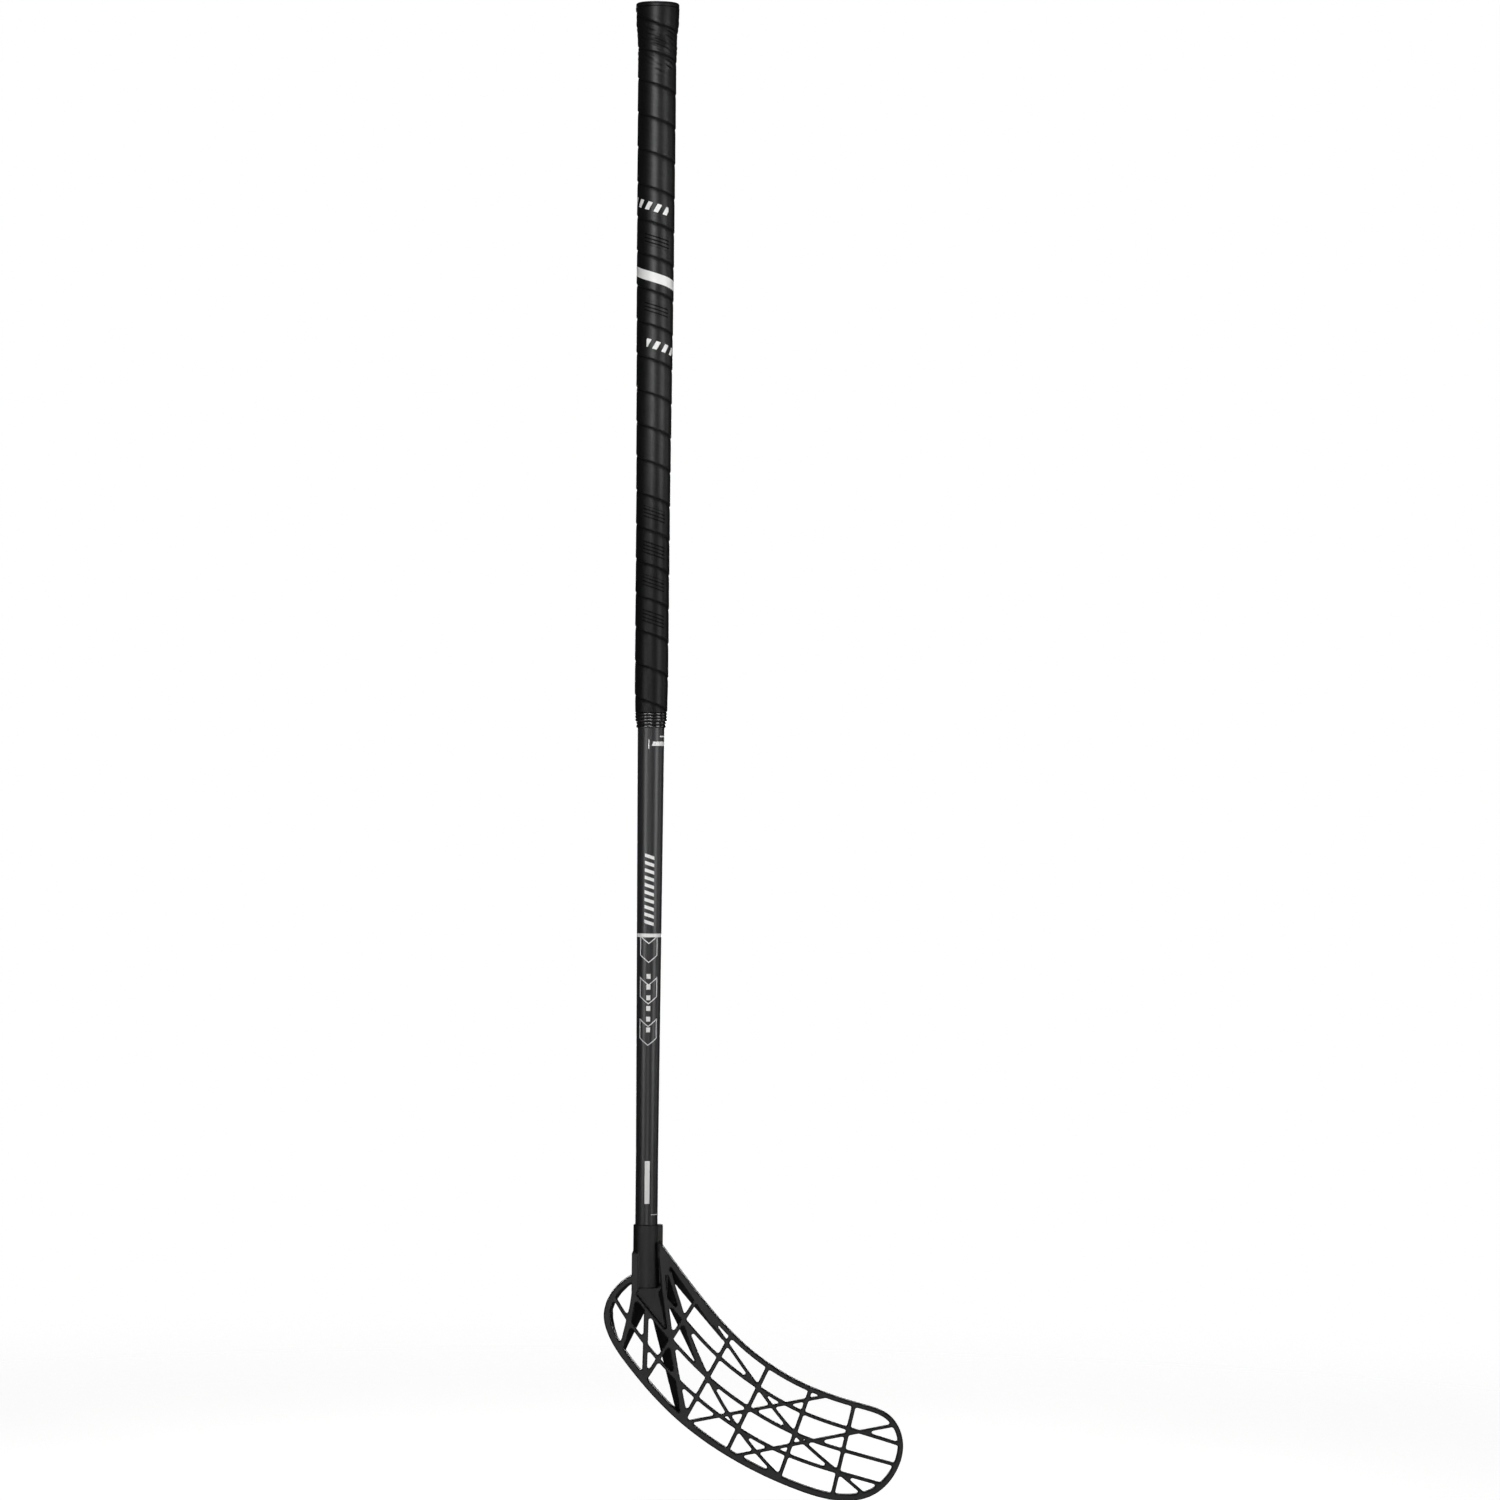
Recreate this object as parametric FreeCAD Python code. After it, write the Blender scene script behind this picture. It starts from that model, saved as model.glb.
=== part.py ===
import FreeCAD, Part
import math
import os

# Floorball stick in millimetres, upright, with the blade at the bottom.
# The origin is the centre of the butt face. +Z runs up out of the butt, +X points at the blade's toe
# and -Y is the front, the hollow side of the blade. Places along the stick are distances from the butt.

# Shaft: a thin composite tube, conical above a straight lower end
SHAFT_LENGTH = 960.0
SHAFT_TOP_DIAMETER = 24.6
SHAFT_MIDDLE_DIAMETER = 20.0
SHAFT_TIP_DIAMETER = 16.8
SHAFT_STRAIGHT_LENGTH = 100.0
SHAFT_WALL = 1.7

# End cap: a rounded disc, a plug inside the shaft and a flared skirt outside it
CAP_DIAMETER = 32.4
CAP_DISC_HEIGHT = 3.6
CAP_EDGE_ROUND = 1.6
CAP_PLUG_LENGTH = 22.0
CAP_PLUG_WALL = 2.0
CAP_SKIRT_LENGTH = 26.0
CAP_SKIRT_DIAMETER = 28.2
CAP_SKIRT_LIP = 0.6
CAP_CLEARANCE = 0.05

# Grip: one tape wound down the shaft in a left-handed helix
GRIP_END = 531.0
GRIP_FLARE_DIAMETER = 33.0
GRIP_FLARE_LENGTH = 27.0
GRIP_UPPER_DIAMETER = 29.0
GRIP_MIDDLE_DIAMETER = 28.0
GRIP_LOWER_DIAMETER = 25.5
GRIP_LAST_DIAMETER = 25.2
GRIP_TIP_DIAMETER = 24.2
GRIP_TIP_LENGTH = 20.0
GRIP_MIDDLE_SHARE = 0.4
GRIP_LOWER_SHARE = 0.7
TAPE_PITCH = 25.6
TAPE_GAP = 0.6
TAPE_POINT_WIDTH = 1.0
TAPE_CLEARANCE = 0.3
TAPE_START_ANGLE = 176.0
TAPE_STEPS_PER_TURN = 16

# Collar: a stepped rubber ring that finishes the grip
COLLAR_LENGTH = 11.6
COLLAR_UPPER_DIAMETER = 23.4
COLLAR_LOWER_DIAMETER = 21.4
COLLAR_RIDGE_HEIGHT = 0.4
COLLAR_UPPER_RIDGES = 3
COLLAR_LOWER_RIDGES = 2
COLLAR_STEP_SHARE = 0.58
COLLAR_CLEARANCE = 0.3

# Sticker: a blank film label on the shaft's straight end, above the blade's socket
STICKER_RISE = 15.6
STICKER_LENGTH = 32.0
STICKER_WIDTH = 3.7
STICKER_THICKNESS = 0.15
STICKER_CLEARANCE = 0.05
STICKER_ANGLE = -87.5

# Blade socket: a tube on the shaft's end with a floor, a side flange and a screw boss at the back
SOCKET_DEPTH = 45.4
SOCKET_WALL = 1.2
SOCKET_CLEARANCE = 0.15
SOCKET_FLOOR = 2.0
FLANGE_REACH = 12.4
FLANGE_HEIGHT = 24.0
FLANGE_THICKNESS = 8.0
FIN_REACH = 10.6
FIN_TOP = 21.0
FIN_WIDTH = 4.6
FIN_END = 50.0

# Blade: the toe's reach from the shaft's axis, and the drop of the lowest point from the socket's top
BLADE_REACH = 193.0
BLADE_DROP = 204.0
BLADE_FRONT = 9.0
BLADE_LIE = 28.0
HEEL_DEPTH = 18.0
RIM_DEPTH = 9.5
TOE_DEPTH = 8.0
RIB_DEPTH = 6.0
HOOK_DEPTH = 14.0
HOOK_START = 80.0
HEEL_END = 50.0
TAPER_END = 115.0
RIM_WIDTH = 4.8
RIM_TOP_WIDTH = 3.4
CROSS_RIB_WIDTH = 2.7
LONG_RIB_WIDTH = 2.3
DIAGONAL_WIDTH = 2.1
HEEL_RIB_WIDTH = 3.4
CELL_ROUND = 1.4
CELL_ROUND_SHARE = 0.95
POCKET_STEP = 0.3
CURVE_TOLERANCE = 0.02
FLAT_ANGLE = 0.3
PLATE_THICKNESS = 2.2

# Blade screw, driven in from the back
SCREW_DROP = 16.0
SCREW_DIAMETER = 3.5
SCREW_LENGTH = 6.5
SCREW_TIP_LENGTH = 2.2
SCREW_TIP_DIAMETER = 1.0
SCREW_HEAD_DIAMETER = 7.0
SCREW_HEAD_HEIGHT = 2.3
SCREW_HEAD_ROUND = 1.1
SCREW_RECESS_LENGTH = 4.0
SCREW_RECESS_WIDTH = 0.9
SCREW_RECESS_DEPTH = 1.3
SCREW_CLEARANCE = 0.3
SCREW_BOSS_DIAMETER = 9.4
SCREW_BOSS_HEIGHT = 1.4

# One length by which every cutting shape runs past what it cuts
OVERRUN = 5.0

# Rim of the blade, its outer edge from the socket's right side round the toe and the heel to the left side.
# Each point is a share of the reach and a share of the drop.
RIM_SHARES = [
    (0.050, 0.060), (0.207, 0.255), (0.398, 0.446), (0.588, 0.564), (0.836, 0.646), (0.953, 0.691),
    (1.000, 0.775), (0.977, 0.887), (0.885, 0.978), (0.778, 1.000), (0.592, 0.963), (0.332, 0.850),
    (0.105, 0.695), (-0.063, 0.521), (-0.148, 0.392), (-0.161, 0.328), (-0.140, 0.265), (-0.040, 0.182),
]
# Where the five cross ribs meet the rim, heel to toe
CROSS_TOP_SHARES = [(0.198, 0.273), (0.330, 0.409), (0.478, 0.516), (0.641, 0.603), (0.810, 0.658)]
CROSS_BOTTOM_SHARES = [(0.002, 0.566), (0.158, 0.706), (0.325, 0.820), (0.526, 0.915), (0.732, 0.976)]
# How far, in rows, a cross rib runs into the rim at each end
CROSS_END_SHARE = 0.2
# The three long ribs divide each cross rib into four. Here they start at the heel and end at the toe.
LONG_START_SHARES = [(0.074, 0.263), (-0.038, 0.264), (-0.127, 0.258)]
LONG_END_SHARES = [(0.985, 0.790), (0.970, 0.865), (0.925, 0.939)]
# Two straight diagonals, low end and high end
DIAGONAL_SHARES = [((0.155, 0.7245), (0.708, 0.620)), ((0.345, 0.845), (0.970, 0.721))]
# Ends of the two diagonals that bend through the crossings, and of the ribs that fan out from the socket
UPPER_BEND_START_SHARES = [(0.232, 0.312), (0.3135, 0.4265)]
UPPER_BEND_END_SHARES = (0.860, 0.981)
LOWER_BEND_START_SHARES = (0.070, 0.110)
LOWER_BEND_END_SHARES = (0.534, 0.924)
FAN_START_SHARES = (0.055, 0.075)
FAN_END_SHARES = (0.162, 0.723)
HEEL_RIB_SHARES = [(-0.042, 0.130), (-0.044, 0.235), (-0.097, 0.463)]
POST_START_SHARES = (0.004, 0.310)
POST_END_SHARES = (-0.002, 0.571)
# Deep walls behind the heel's ribs: front edge from and to, then back edge from and to
WALL_SHARES = [
    ((-0.042, 0.248), (-0.095, 0.462), (-0.003, 0.315), (-0.086, 0.474)),
    ((0.068, 0.215), (0.146, 0.690), (0.031, 0.352), (0.126, 0.690)),
    ((0.092, 0.170), (0.207, 0.515), (0.090, 0.298), (0.207, 0.522)),
    ((0.085, 0.125), (0.262, 0.365), (0.113, 0.217), (0.306, 0.4275)),
]
WALL_FRONT_WIDTH = 2.8
WALL_BACK_WIDTH = 2.2
# Inside of the rim round the heel, from the fin to the heel rib's foot, where it leans inwards like the walls
HEEL_RIM_FRONT_SHARES = [
    (-0.044, 0.195), (-0.079, 0.216), (-0.111, 0.245), (-0.135, 0.279), (-0.148, 0.316),
    (-0.148, 0.354), (-0.136, 0.392), (-0.117, 0.429), (-0.094, 0.464),
]
HEEL_RIM_BACK_SHARES = [
    (-0.037, 0.210), (-0.069, 0.228), (-0.098, 0.255), (-0.121, 0.286), (-0.133, 0.318),
    (-0.132, 0.351), (-0.124, 0.388), (-0.111, 0.425), (-0.093, 0.463),
]
# Sloping plate under the socket: corners, of which the first two lie deep and the others reach the front
PLATE_SHARES = [(-0.038, 0.225), (0.072, 0.225), (0.100, 0.430), (-0.038, 0.262)]
PLATE_BACK_SHARE = 0.32
PLATE_FRONT_SHARE = 0.1
# Web at the back, between the socket and the first walls
WEB_SHARES = [(0.045, 0.050), (0.064, 0.085), (0.113, 0.217), (0.090, 0.298), (0.045, 0.230)]

# Sizes that follow from the ones above
SOCKET_TOP = SHAFT_LENGTH - SOCKET_DEPTH
STICKER_TOP = SOCKET_TOP - STICKER_RISE - STICKER_LENGTH
SOCKET_BORE_RADIUS = SHAFT_TIP_DIAMETER / 2 + SOCKET_CLEARANCE
SOCKET_RADIUS = SOCKET_BORE_RADIUS + SOCKET_WALL
SCREW_SEAT = SOCKET_RADIUS + SCREW_BOSS_HEIGHT
COLLAR_TOP = GRIP_END + TAPE_CLEARANCE
GRIP_START = CAP_DISC_HEIGHT + TAPE_CLEARANCE

Vector = FreeCAD.Vector
UP = Vector(0, 0, 1)
BACK = Vector(0, 1, 0)
# Along the blade from heel to toe, and across it from the lower rim to the top rim
LIE = math.radians(BLADE_LIE)
TO_TOE = Vector(math.cos(LIE), 0, -math.sin(LIE))
TO_TOP = Vector(math.sin(LIE), 0, math.cos(LIE))
BLADE_END = BLADE_REACH * TO_TOE.x - BLADE_DROP * TO_TOE.z
# A ruled face runs both its edges the way that they were drawn
FORWARD = 1


def along(distance, stations):
    """Value at a distance, on straight lines between (distance, value) stations."""
    for first, second in zip(stations, stations[1:]):
        if distance <= second[0]:
            break
    part = (distance - first[0]) / (second[0] - first[0])
    return first[1] + part * (second[1] - first[1])


def revolved(profile):
    """Solid of revolution about the stick's axis from (radius, distance from the butt) corners."""
    points = [Vector(radius, 0, -distance) for radius, distance in profile]
    face = Part.Face(Part.makePolygon(points + points[:1]))
    return face.revolve(Vector(), UP, 360)


def shaft_radius(distance):
    straight = SHAFT_LENGTH - SHAFT_STRAIGHT_LENGTH
    collar_end = COLLAR_TOP + COLLAR_LENGTH
    diameter = along(distance, [
        (0, SHAFT_TOP_DIAMETER),
        (collar_end, SHAFT_MIDDLE_DIAMETER),
        (straight, SHAFT_TIP_DIAMETER),
        (SHAFT_LENGTH, SHAFT_TIP_DIAMETER),
    ])
    return diameter / 2


def shaft_tube():
    collar_end = COLLAR_TOP + COLLAR_LENGTH
    stations = [CAP_DISC_HEIGHT, collar_end, SHAFT_LENGTH - SHAFT_STRAIGHT_LENGTH, SHAFT_LENGTH]
    outside = [(shaft_radius(place), place) for place in stations]
    inside = [(radius - SHAFT_WALL, place) for radius, place in reversed(outside)]
    return revolved(outside + inside).cut(screw_slot())


def screw_slot():
    """Slot in the shaft's back wall, long enough for the screw to leave it while the blade slides down."""
    width = SCREW_DIAMETER + SCREW_CLEARANCE
    travel = shaft_radius(SHAFT_LENGTH) - (SCREW_SEAT - SCREW_LENGTH) + SCREW_CLEARANCE
    depth = SHAFT_TIP_DIAMETER / 2 + OVERRUN
    middle = Vector(0, 0, -(SOCKET_TOP + SCREW_DROP))
    top = Part.makeCylinder(width / 2, depth, middle, BACK)
    bottom = Part.makeCylinder(width / 2, depth, middle - UP * travel, BACK)
    between = Part.makeBox(width, depth, travel, middle - Vector(width / 2, 0, travel))
    return top.fuse([bottom, between])


def skirt_radius(distance):
    lip_end = CAP_DISC_HEIGHT + CAP_SKIRT_LENGTH
    lip_radius = shaft_radius(lip_end) + CAP_CLEARANCE + CAP_SKIRT_LIP
    return along(distance, [(CAP_DISC_HEIGHT, CAP_SKIRT_DIAMETER / 2), (lip_end, lip_radius)])


def end_cap():
    under = CAP_DISC_HEIGHT
    plug_end = under + CAP_PLUG_LENGTH
    skirt_end = under + CAP_SKIRT_LENGTH
    disc = Part.makeCylinder(CAP_DIAMETER / 2, under, Vector(0, 0, -under))
    top_edges = [edge for edge in disc.Edges if edge.CenterOfMass.z > -under / 2]
    disc = disc.makeFillet(CAP_EDGE_ROUND, top_edges)
    bore = [shaft_radius(place) - SHAFT_WALL - CAP_CLEARANCE for place in (under, plug_end)]
    plug = revolved([
        (bore[0], under), (bore[1], plug_end),
        (bore[1] - CAP_PLUG_WALL, plug_end), (bore[0] - CAP_PLUG_WALL, under),
    ])
    skirt = revolved([
        (shaft_radius(under) + CAP_CLEARANCE, under), (skirt_radius(under), under),
        (skirt_radius(skirt_end), skirt_end), (shaft_radius(skirt_end) + CAP_CLEARANCE, skirt_end),
    ])
    return disc.fuse([plug, skirt]).removeSplitter()


def grip_radius(distance):
    """Outside of the wound tape."""
    length = GRIP_END - GRIP_START
    diameter = along(distance, [
        (GRIP_START, GRIP_FLARE_DIAMETER),
        (GRIP_START + GRIP_FLARE_LENGTH, GRIP_UPPER_DIAMETER),
        (GRIP_START + GRIP_MIDDLE_SHARE * length, GRIP_MIDDLE_DIAMETER),
        (GRIP_START + GRIP_LOWER_SHARE * length, GRIP_LOWER_DIAMETER),
        (GRIP_END - GRIP_TIP_LENGTH, GRIP_LAST_DIAMETER),
        (GRIP_END, GRIP_TIP_DIAMETER),
    ])
    return diameter / 2


def tape_seat(distance):
    """Inside of the wound tape: it clears the cap's skirt and eases down to the shaft in one turn."""
    lip_end = CAP_DISC_HEIGHT + CAP_SKIRT_LENGTH
    eased = lip_end + TAPE_PITCH
    if distance < lip_end:
        under = skirt_radius(distance)
    elif distance < eased:
        under = along(distance, [(lip_end, skirt_radius(lip_end)), (eased, shaft_radius(eased))])
    else:
        under = shaft_radius(distance)
    return under + TAPE_CLEARANCE


def tape_last_turn():
    return 1 + (GRIP_END - GRIP_START - 2 * TAPE_POINT_WIDTH - TAPE_GAP) / TAPE_PITCH


def tape_edges(turn):
    """Upper and lower edge of the tape, as distances from the butt, after so many turns."""
    step = TAPE_POINT_WIDTH + TAPE_GAP
    last = tape_last_turn()
    if turn < 1:
        upper = GRIP_START + step * turn
    else:
        upper = GRIP_START + step + TAPE_PITCH * (turn - 1)
    if turn > last - 1:
        lower = GRIP_END - step * (last - turn)
    else:
        lower = GRIP_START + TAPE_POINT_WIDTH + TAPE_PITCH * turn
    return upper, lower


def tape_corners(turn):
    """Corners of the tape's section after so many turns: upper and lower outer, lower and upper inner."""
    upper, lower = tape_edges(turn)
    angle = math.radians(TAPE_START_ANGLE + 360 * turn)
    corners = []
    for radius, distance in (
        (grip_radius(upper), upper), (grip_radius(lower), lower),
        (tape_seat(lower), lower), (tape_seat(upper), upper),
    ):
        corners.append(Vector(radius * math.cos(angle), radius * math.sin(angle), -distance))
    return corners


def smooth(points):
    curve = Part.BSplineCurve()
    curve.interpolate(points)
    return curve


def grip_tape():
    """The wound tape as one strip: a pointed first turn, the full turns and a pointed last turn."""
    last = tape_last_turn()
    full = math.ceil(last - 2)
    stops = [0] + [1 + (last - 2) * turn / full for turn in range(full + 1)] + [last]
    faces = []
    for begin, end in zip(stops, stops[1:]):
        sections = []
        for step in range(TAPE_STEPS_PER_TURN + 1):
            sections.append(tape_corners(begin + (end - begin) * step / TAPE_STEPS_PER_TURN))
        edges = [smooth([section[corner] for section in sections]).toShape() for corner in range(4)]
        for corner in range(4):
            faces.append(Part.makeRuledSurface(edges[corner], edges[(corner + 1) % 4], FORWARD))
    for turn in (0, last):
        corners = tape_corners(turn)
        faces.append(Part.Face(Part.makePolygon(corners + corners[:1])))
    shell = Part.Shell(faces)
    shell.sewShape()
    tape = Part.Solid(shell)
    if tape.Volume < 0:
        tape.reverse()
    return tape


def tape_least_gap():
    """Least distance between neighbouring turns of the tape, measured on points of their facing edges."""
    steps = math.ceil((tape_last_turn() - 1) * TAPE_STEPS_PER_TURN)
    turns = [(tape_last_turn() - 1) * step / steps for step in range(steps + 1)]
    least = TAPE_PITCH
    for turn in turns:
        above = tape_corners(turn)[1]
        below = tape_corners(turn + 1)[0]
        least = min(least, above.distanceToPoint(below))
    return least


def collar_ridges(radius, top, bottom, count):
    """Half-round ridges down the outside of the collar, as arcs between two heights."""
    pitch = (bottom - top) / count
    arcs = []
    for ridge in range(count):
        start = top + ridge * pitch
        ends = [Vector(radius, 0, -start), Vector(radius, 0, -(start + pitch))]
        crest = Vector(radius + COLLAR_RIDGE_HEIGHT, 0, -(start + pitch / 2))
        arcs.append(Part.Arc(ends[0], crest, ends[1]).toShape())
    return arcs


def grip_collar():
    bottom = COLLAR_TOP + COLLAR_LENGTH
    step = COLLAR_TOP + COLLAR_STEP_SHARE * COLLAR_LENGTH
    bore = shaft_radius(COLLAR_TOP) + COLLAR_CLEARANCE
    upper = COLLAR_UPPER_DIAMETER / 2
    lower = COLLAR_LOWER_DIAMETER / 2
    outside = collar_ridges(upper, COLLAR_TOP, step, COLLAR_UPPER_RIDGES)
    outside.append(Part.makeLine(Vector(upper, 0, -step), Vector(lower, 0, -step)))
    outside += collar_ridges(lower, step, bottom, COLLAR_LOWER_RIDGES)
    inside = Part.makePolygon([
        Vector(lower, 0, -bottom), Vector(bore, 0, -bottom),
        Vector(bore, 0, -COLLAR_TOP), Vector(upper, 0, -COLLAR_TOP),
    ])
    face = Part.Face(Part.Wire(outside + inside.Edges))
    return face.revolve(Vector(), UP, 360)


def shaft_sticker():
    inner = shaft_radius(STICKER_TOP + STICKER_LENGTH / 2) + STICKER_CLEARANCE
    outer = inner + STICKER_THICKNESS
    bottom = STICKER_TOP + STICKER_LENGTH
    corners = [Vector(radius, 0, -place) for radius, place in (
        (inner, STICKER_TOP), (outer, STICKER_TOP), (outer, bottom), (inner, bottom))]
    face = Part.Face(Part.makePolygon(corners + corners[:1]))
    spread = math.degrees(STICKER_WIDTH / inner)
    face.rotate(Vector(), UP, STICKER_ANGLE - spread / 2)
    return face.revolve(Vector(), UP, spread)


def on_blade(shares, depth=0):
    """Point of the blade from its share of the reach and its share of the drop."""
    return Vector(shares[0] * BLADE_REACH, depth, -(SOCKET_TOP + shares[1] * BLADE_DROP))


def crossing(cross, row):
    """Where a cross rib, counted from the heel, meets a row: 0 is the top rim and 4 the bottom rim."""
    top = on_blade(CROSS_TOP_SHARES[cross])
    bottom = on_blade(CROSS_BOTTOM_SHARES[cross])
    return top + (bottom - top) * (row / 4)


def arc_edge(arc):
    """Edge of a fitted arc, or a straight one where the arc hardly turns."""
    edge = arc.toShape()
    start, end = edge.discretize(2)
    turn = edge.tangentAt(edge.FirstParameter).getAngle(edge.tangentAt(edge.LastParameter))
    if math.degrees(turn) < FLAT_ANGLE:
        return Part.makeLine(start, end)
    return edge


def arcs_through(points):
    """Smooth line through points, made of arcs."""
    return Part.Wire([arc_edge(arc) for arc in smooth(points).toBiArcs(CURVE_TOLERANCE)])


def bar(first, second, width):
    """Outline of a straight flat bar between two points at one depth."""
    side = (second - first).cross(BACK).normalize() * (width / 2)
    corners = [first + side, second + side, second - side, first - side]
    return Part.makePolygon(corners + corners[:1])


def strip(points, width):
    """Flat strip of one width along a straight or smooth line."""
    if len(points) == 2:
        return Part.Face(bar(points[0], points[1], width))
    return Part.Face(arcs_through(points).makeOffset2D(width / 2))


def blade_outline():
    edge = arcs_through([on_blade(shares) for shares in RIM_SHARES])
    ends = [edge.OrderedVertexes[index].Point for index in (0, -1)]
    return Part.Face(Part.Wire(edge.OrderedEdges + [Part.makeLine(ends[1], ends[0])]))


def blade_window():
    """Inside of the rim: the outline drawn in and moved up, because the top rim is the narrower one."""
    window = blade_outline().makeOffset2D(-(RIM_WIDTH + RIM_TOP_WIDTH) / 2)
    window.translate(TO_TOP * ((RIM_WIDTH - RIM_TOP_WIDTH) / 2))
    return window


def blade_ribs():
    """Every rib of the net as a flat strip."""
    ribs = []
    for cross in range(len(CROSS_TOP_SHARES)):
        ends = [crossing(cross, -CROSS_END_SHARE), crossing(cross, 4 + CROSS_END_SHARE)]
        ribs.append(strip(ends, CROSS_RIB_WIDTH))
    for row in (1, 2, 3):
        points = [on_blade(LONG_START_SHARES[row - 1])]
        points += [crossing(cross, row) for cross in range(len(CROSS_TOP_SHARES))]
        points.append(on_blade(LONG_END_SHARES[row - 1]))
        ribs.append(strip(points, LONG_RIB_WIDTH))
    for low, high in DIAGONAL_SHARES:
        ribs.append(strip([on_blade(low), on_blade(high)], DIAGONAL_WIDTH))
    upper_bend = [on_blade(shares) for shares in UPPER_BEND_START_SHARES]
    upper_bend += [crossing(2, 1), crossing(3, 2), crossing(4, 3), on_blade(UPPER_BEND_END_SHARES)]
    lower_bend = [on_blade(LOWER_BEND_START_SHARES)]
    lower_bend += [crossing(0, 1), crossing(1, 2), crossing(2, 3), on_blade(LOWER_BEND_END_SHARES)]
    for points in (upper_bend, lower_bend):
        ribs.append(strip(points, DIAGONAL_WIDTH))
    fan = [on_blade(FAN_START_SHARES), crossing(0, 2), on_blade(FAN_END_SHARES)]
    heel = [on_blade(shares) for shares in HEEL_RIB_SHARES]
    post = [on_blade(POST_START_SHARES), on_blade(POST_END_SHARES)]
    for points in (fan, heel, post):
        ribs.append(strip(points, HEEL_RIB_WIDTH))
    return ribs


def rounded_cell(cell):
    """Hole of the net with its corners rounded, less in a small hole. A narrow neck divides it."""
    radius = min(CELL_ROUND, CELL_ROUND_SHARE * cell.Area / cell.Length)
    return cell.makeOffset2D(-radius).makeOffset2D(radius).Faces


def front_place(along_blade):
    """How far in front of the shaft's axis the blade's front lies: flat at the heel, hooked to the toe."""
    past = max(0, along_blade - HOOK_START) / (BLADE_END - HOOK_START)
    return -BLADE_FRONT - HOOK_DEPTH * past * past


def depth_at(along_blade):
    return along(along_blade, [
        (0, HEEL_DEPTH), (HEEL_END, HEEL_DEPTH), (TAPER_END, RIM_DEPTH), (BLADE_END + OVERRUN, TOE_DEPTH),
    ])


def blade_slab(front, back):
    """Slab between two depths, each a function of the distance along the blade, wider than the blade."""
    start = on_blade((0, 0)) - TO_TOP * BLADE_DROP
    end = BLADE_END + OVERRUN
    middle = (HOOK_START + end) / 2
    late = (TAPER_END + end) / 2

    def place(distance, depth):
        return start + TO_TOE * distance + BACK * depth(distance)

    edges = [
        Part.makeLine(place(-BLADE_DROP, front), place(HOOK_START, front)),
        Part.Arc(place(HOOK_START, front), place(middle, front), place(end, front)).toShape(),
        Part.makeLine(place(end, front), place(end, back)),
        Part.Arc(place(end, back), place(late, back), place(TAPER_END, back)).toShape(),
        Part.makeLine(place(TAPER_END, back), place(HEEL_END, back)),
        Part.makeLine(place(HEEL_END, back), place(-BLADE_DROP, back)),
        Part.makeLine(place(-BLADE_DROP, back), place(-BLADE_DROP, front)),
    ]
    return Part.Face(Part.Wire(edges)).extrude(TO_TOP * (BLADE_DROP * 3))


def back_place(along_blade):
    return front_place(along_blade) + depth_at(along_blade)


def rib_back_place(along_blade):
    return front_place(along_blade) + RIB_DEPTH


def beyond_place(along_blade):
    return back_place(along_blade) + OVERRUN


def thick(face):
    """Flat shape of the blade drawn out through the whole depth."""
    reach = HEEL_DEPTH + BLADE_FRONT + HOOK_DEPTH + OVERRUN
    moved = face.copy()
    moved.translate(-BACK * reach)
    return moved.extrude(BACK * (reach * 2))


def blade_net():
    """Rim and ribs: a plate with rounded holes, deep at the rim and shallower inside it."""
    window = blade_window()
    cells = window.cut(blade_ribs()).Faces
    plate = blade_outline().cut([hole for cell in cells for hole in rounded_cell(cell)])
    net = thick(plate).common(blade_slab(front_place, back_place))
    pocket = thick(window.makeOffset2D(-POCKET_STEP)).common(blade_slab(rib_back_place, beyond_place))
    return net.cut([pocket, socket_front()])


def socket_front():
    """Space in front of the socket, which the net leaves bare."""
    length = SOCKET_DEPTH + SOCKET_FLOOR
    depth = BLADE_FRONT + OVERRUN
    low = Vector(-SOCKET_RADIUS, -depth, -(SOCKET_TOP + length))
    return Part.makeBox(SOCKET_RADIUS * 2, depth, length, low)


def heel_walls():
    """Deep walls behind the heel's ribs and rim, which lean inwards towards the back."""
    rim_starts = zip(HEEL_RIM_FRONT_SHARES, HEEL_RIM_BACK_SHARES)
    rim_ends = zip(HEEL_RIM_FRONT_SHARES[1:], HEEL_RIM_BACK_SHARES[1:])
    rim_walls = [(start[0], end[0], start[1], end[1]) for start, end in zip(rim_starts, rim_ends)]
    walls = []
    for front_start, front_end, back_start, back_end in WALL_SHARES + rim_walls:
        near = -BLADE_FRONT
        deep = HEEL_DEPTH - BLADE_FRONT
        front = bar(on_blade(front_start, near), on_blade(front_end, near), WALL_FRONT_WIDTH)
        back = bar(on_blade(back_start, deep), on_blade(back_end, deep), WALL_BACK_WIDTH)
        walls.append(Part.makeLoft([front, back], True, True))
    return walls


def socket_plate():
    """Sloping plate under the socket."""
    deep = -BLADE_FRONT + PLATE_BACK_SHARE * HEEL_DEPTH
    near = -BLADE_FRONT + PLATE_FRONT_SHARE * HEEL_DEPTH
    upper = PLATE_SHARES[0][1]
    lower = PLATE_SHARES[2][1]
    corners = []
    for shares in PLATE_SHARES:
        part = (shares[1] - upper) / (lower - upper)
        corners.append(on_blade(shares, deep + part * (near - deep)))
    return Part.Face(Part.makePolygon(corners + corners[:1])).extrude(BACK * PLATE_THICKNESS)


def heel_web():
    """Flat web at the back that closes the corner between the socket and the walls."""
    back = HEEL_DEPTH - BLADE_FRONT
    corners = [on_blade(shares, back) for shares in WEB_SHARES]
    return Part.Face(Part.makePolygon(corners + corners[:1])).extrude(-BACK * PLATE_THICKNESS)


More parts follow.
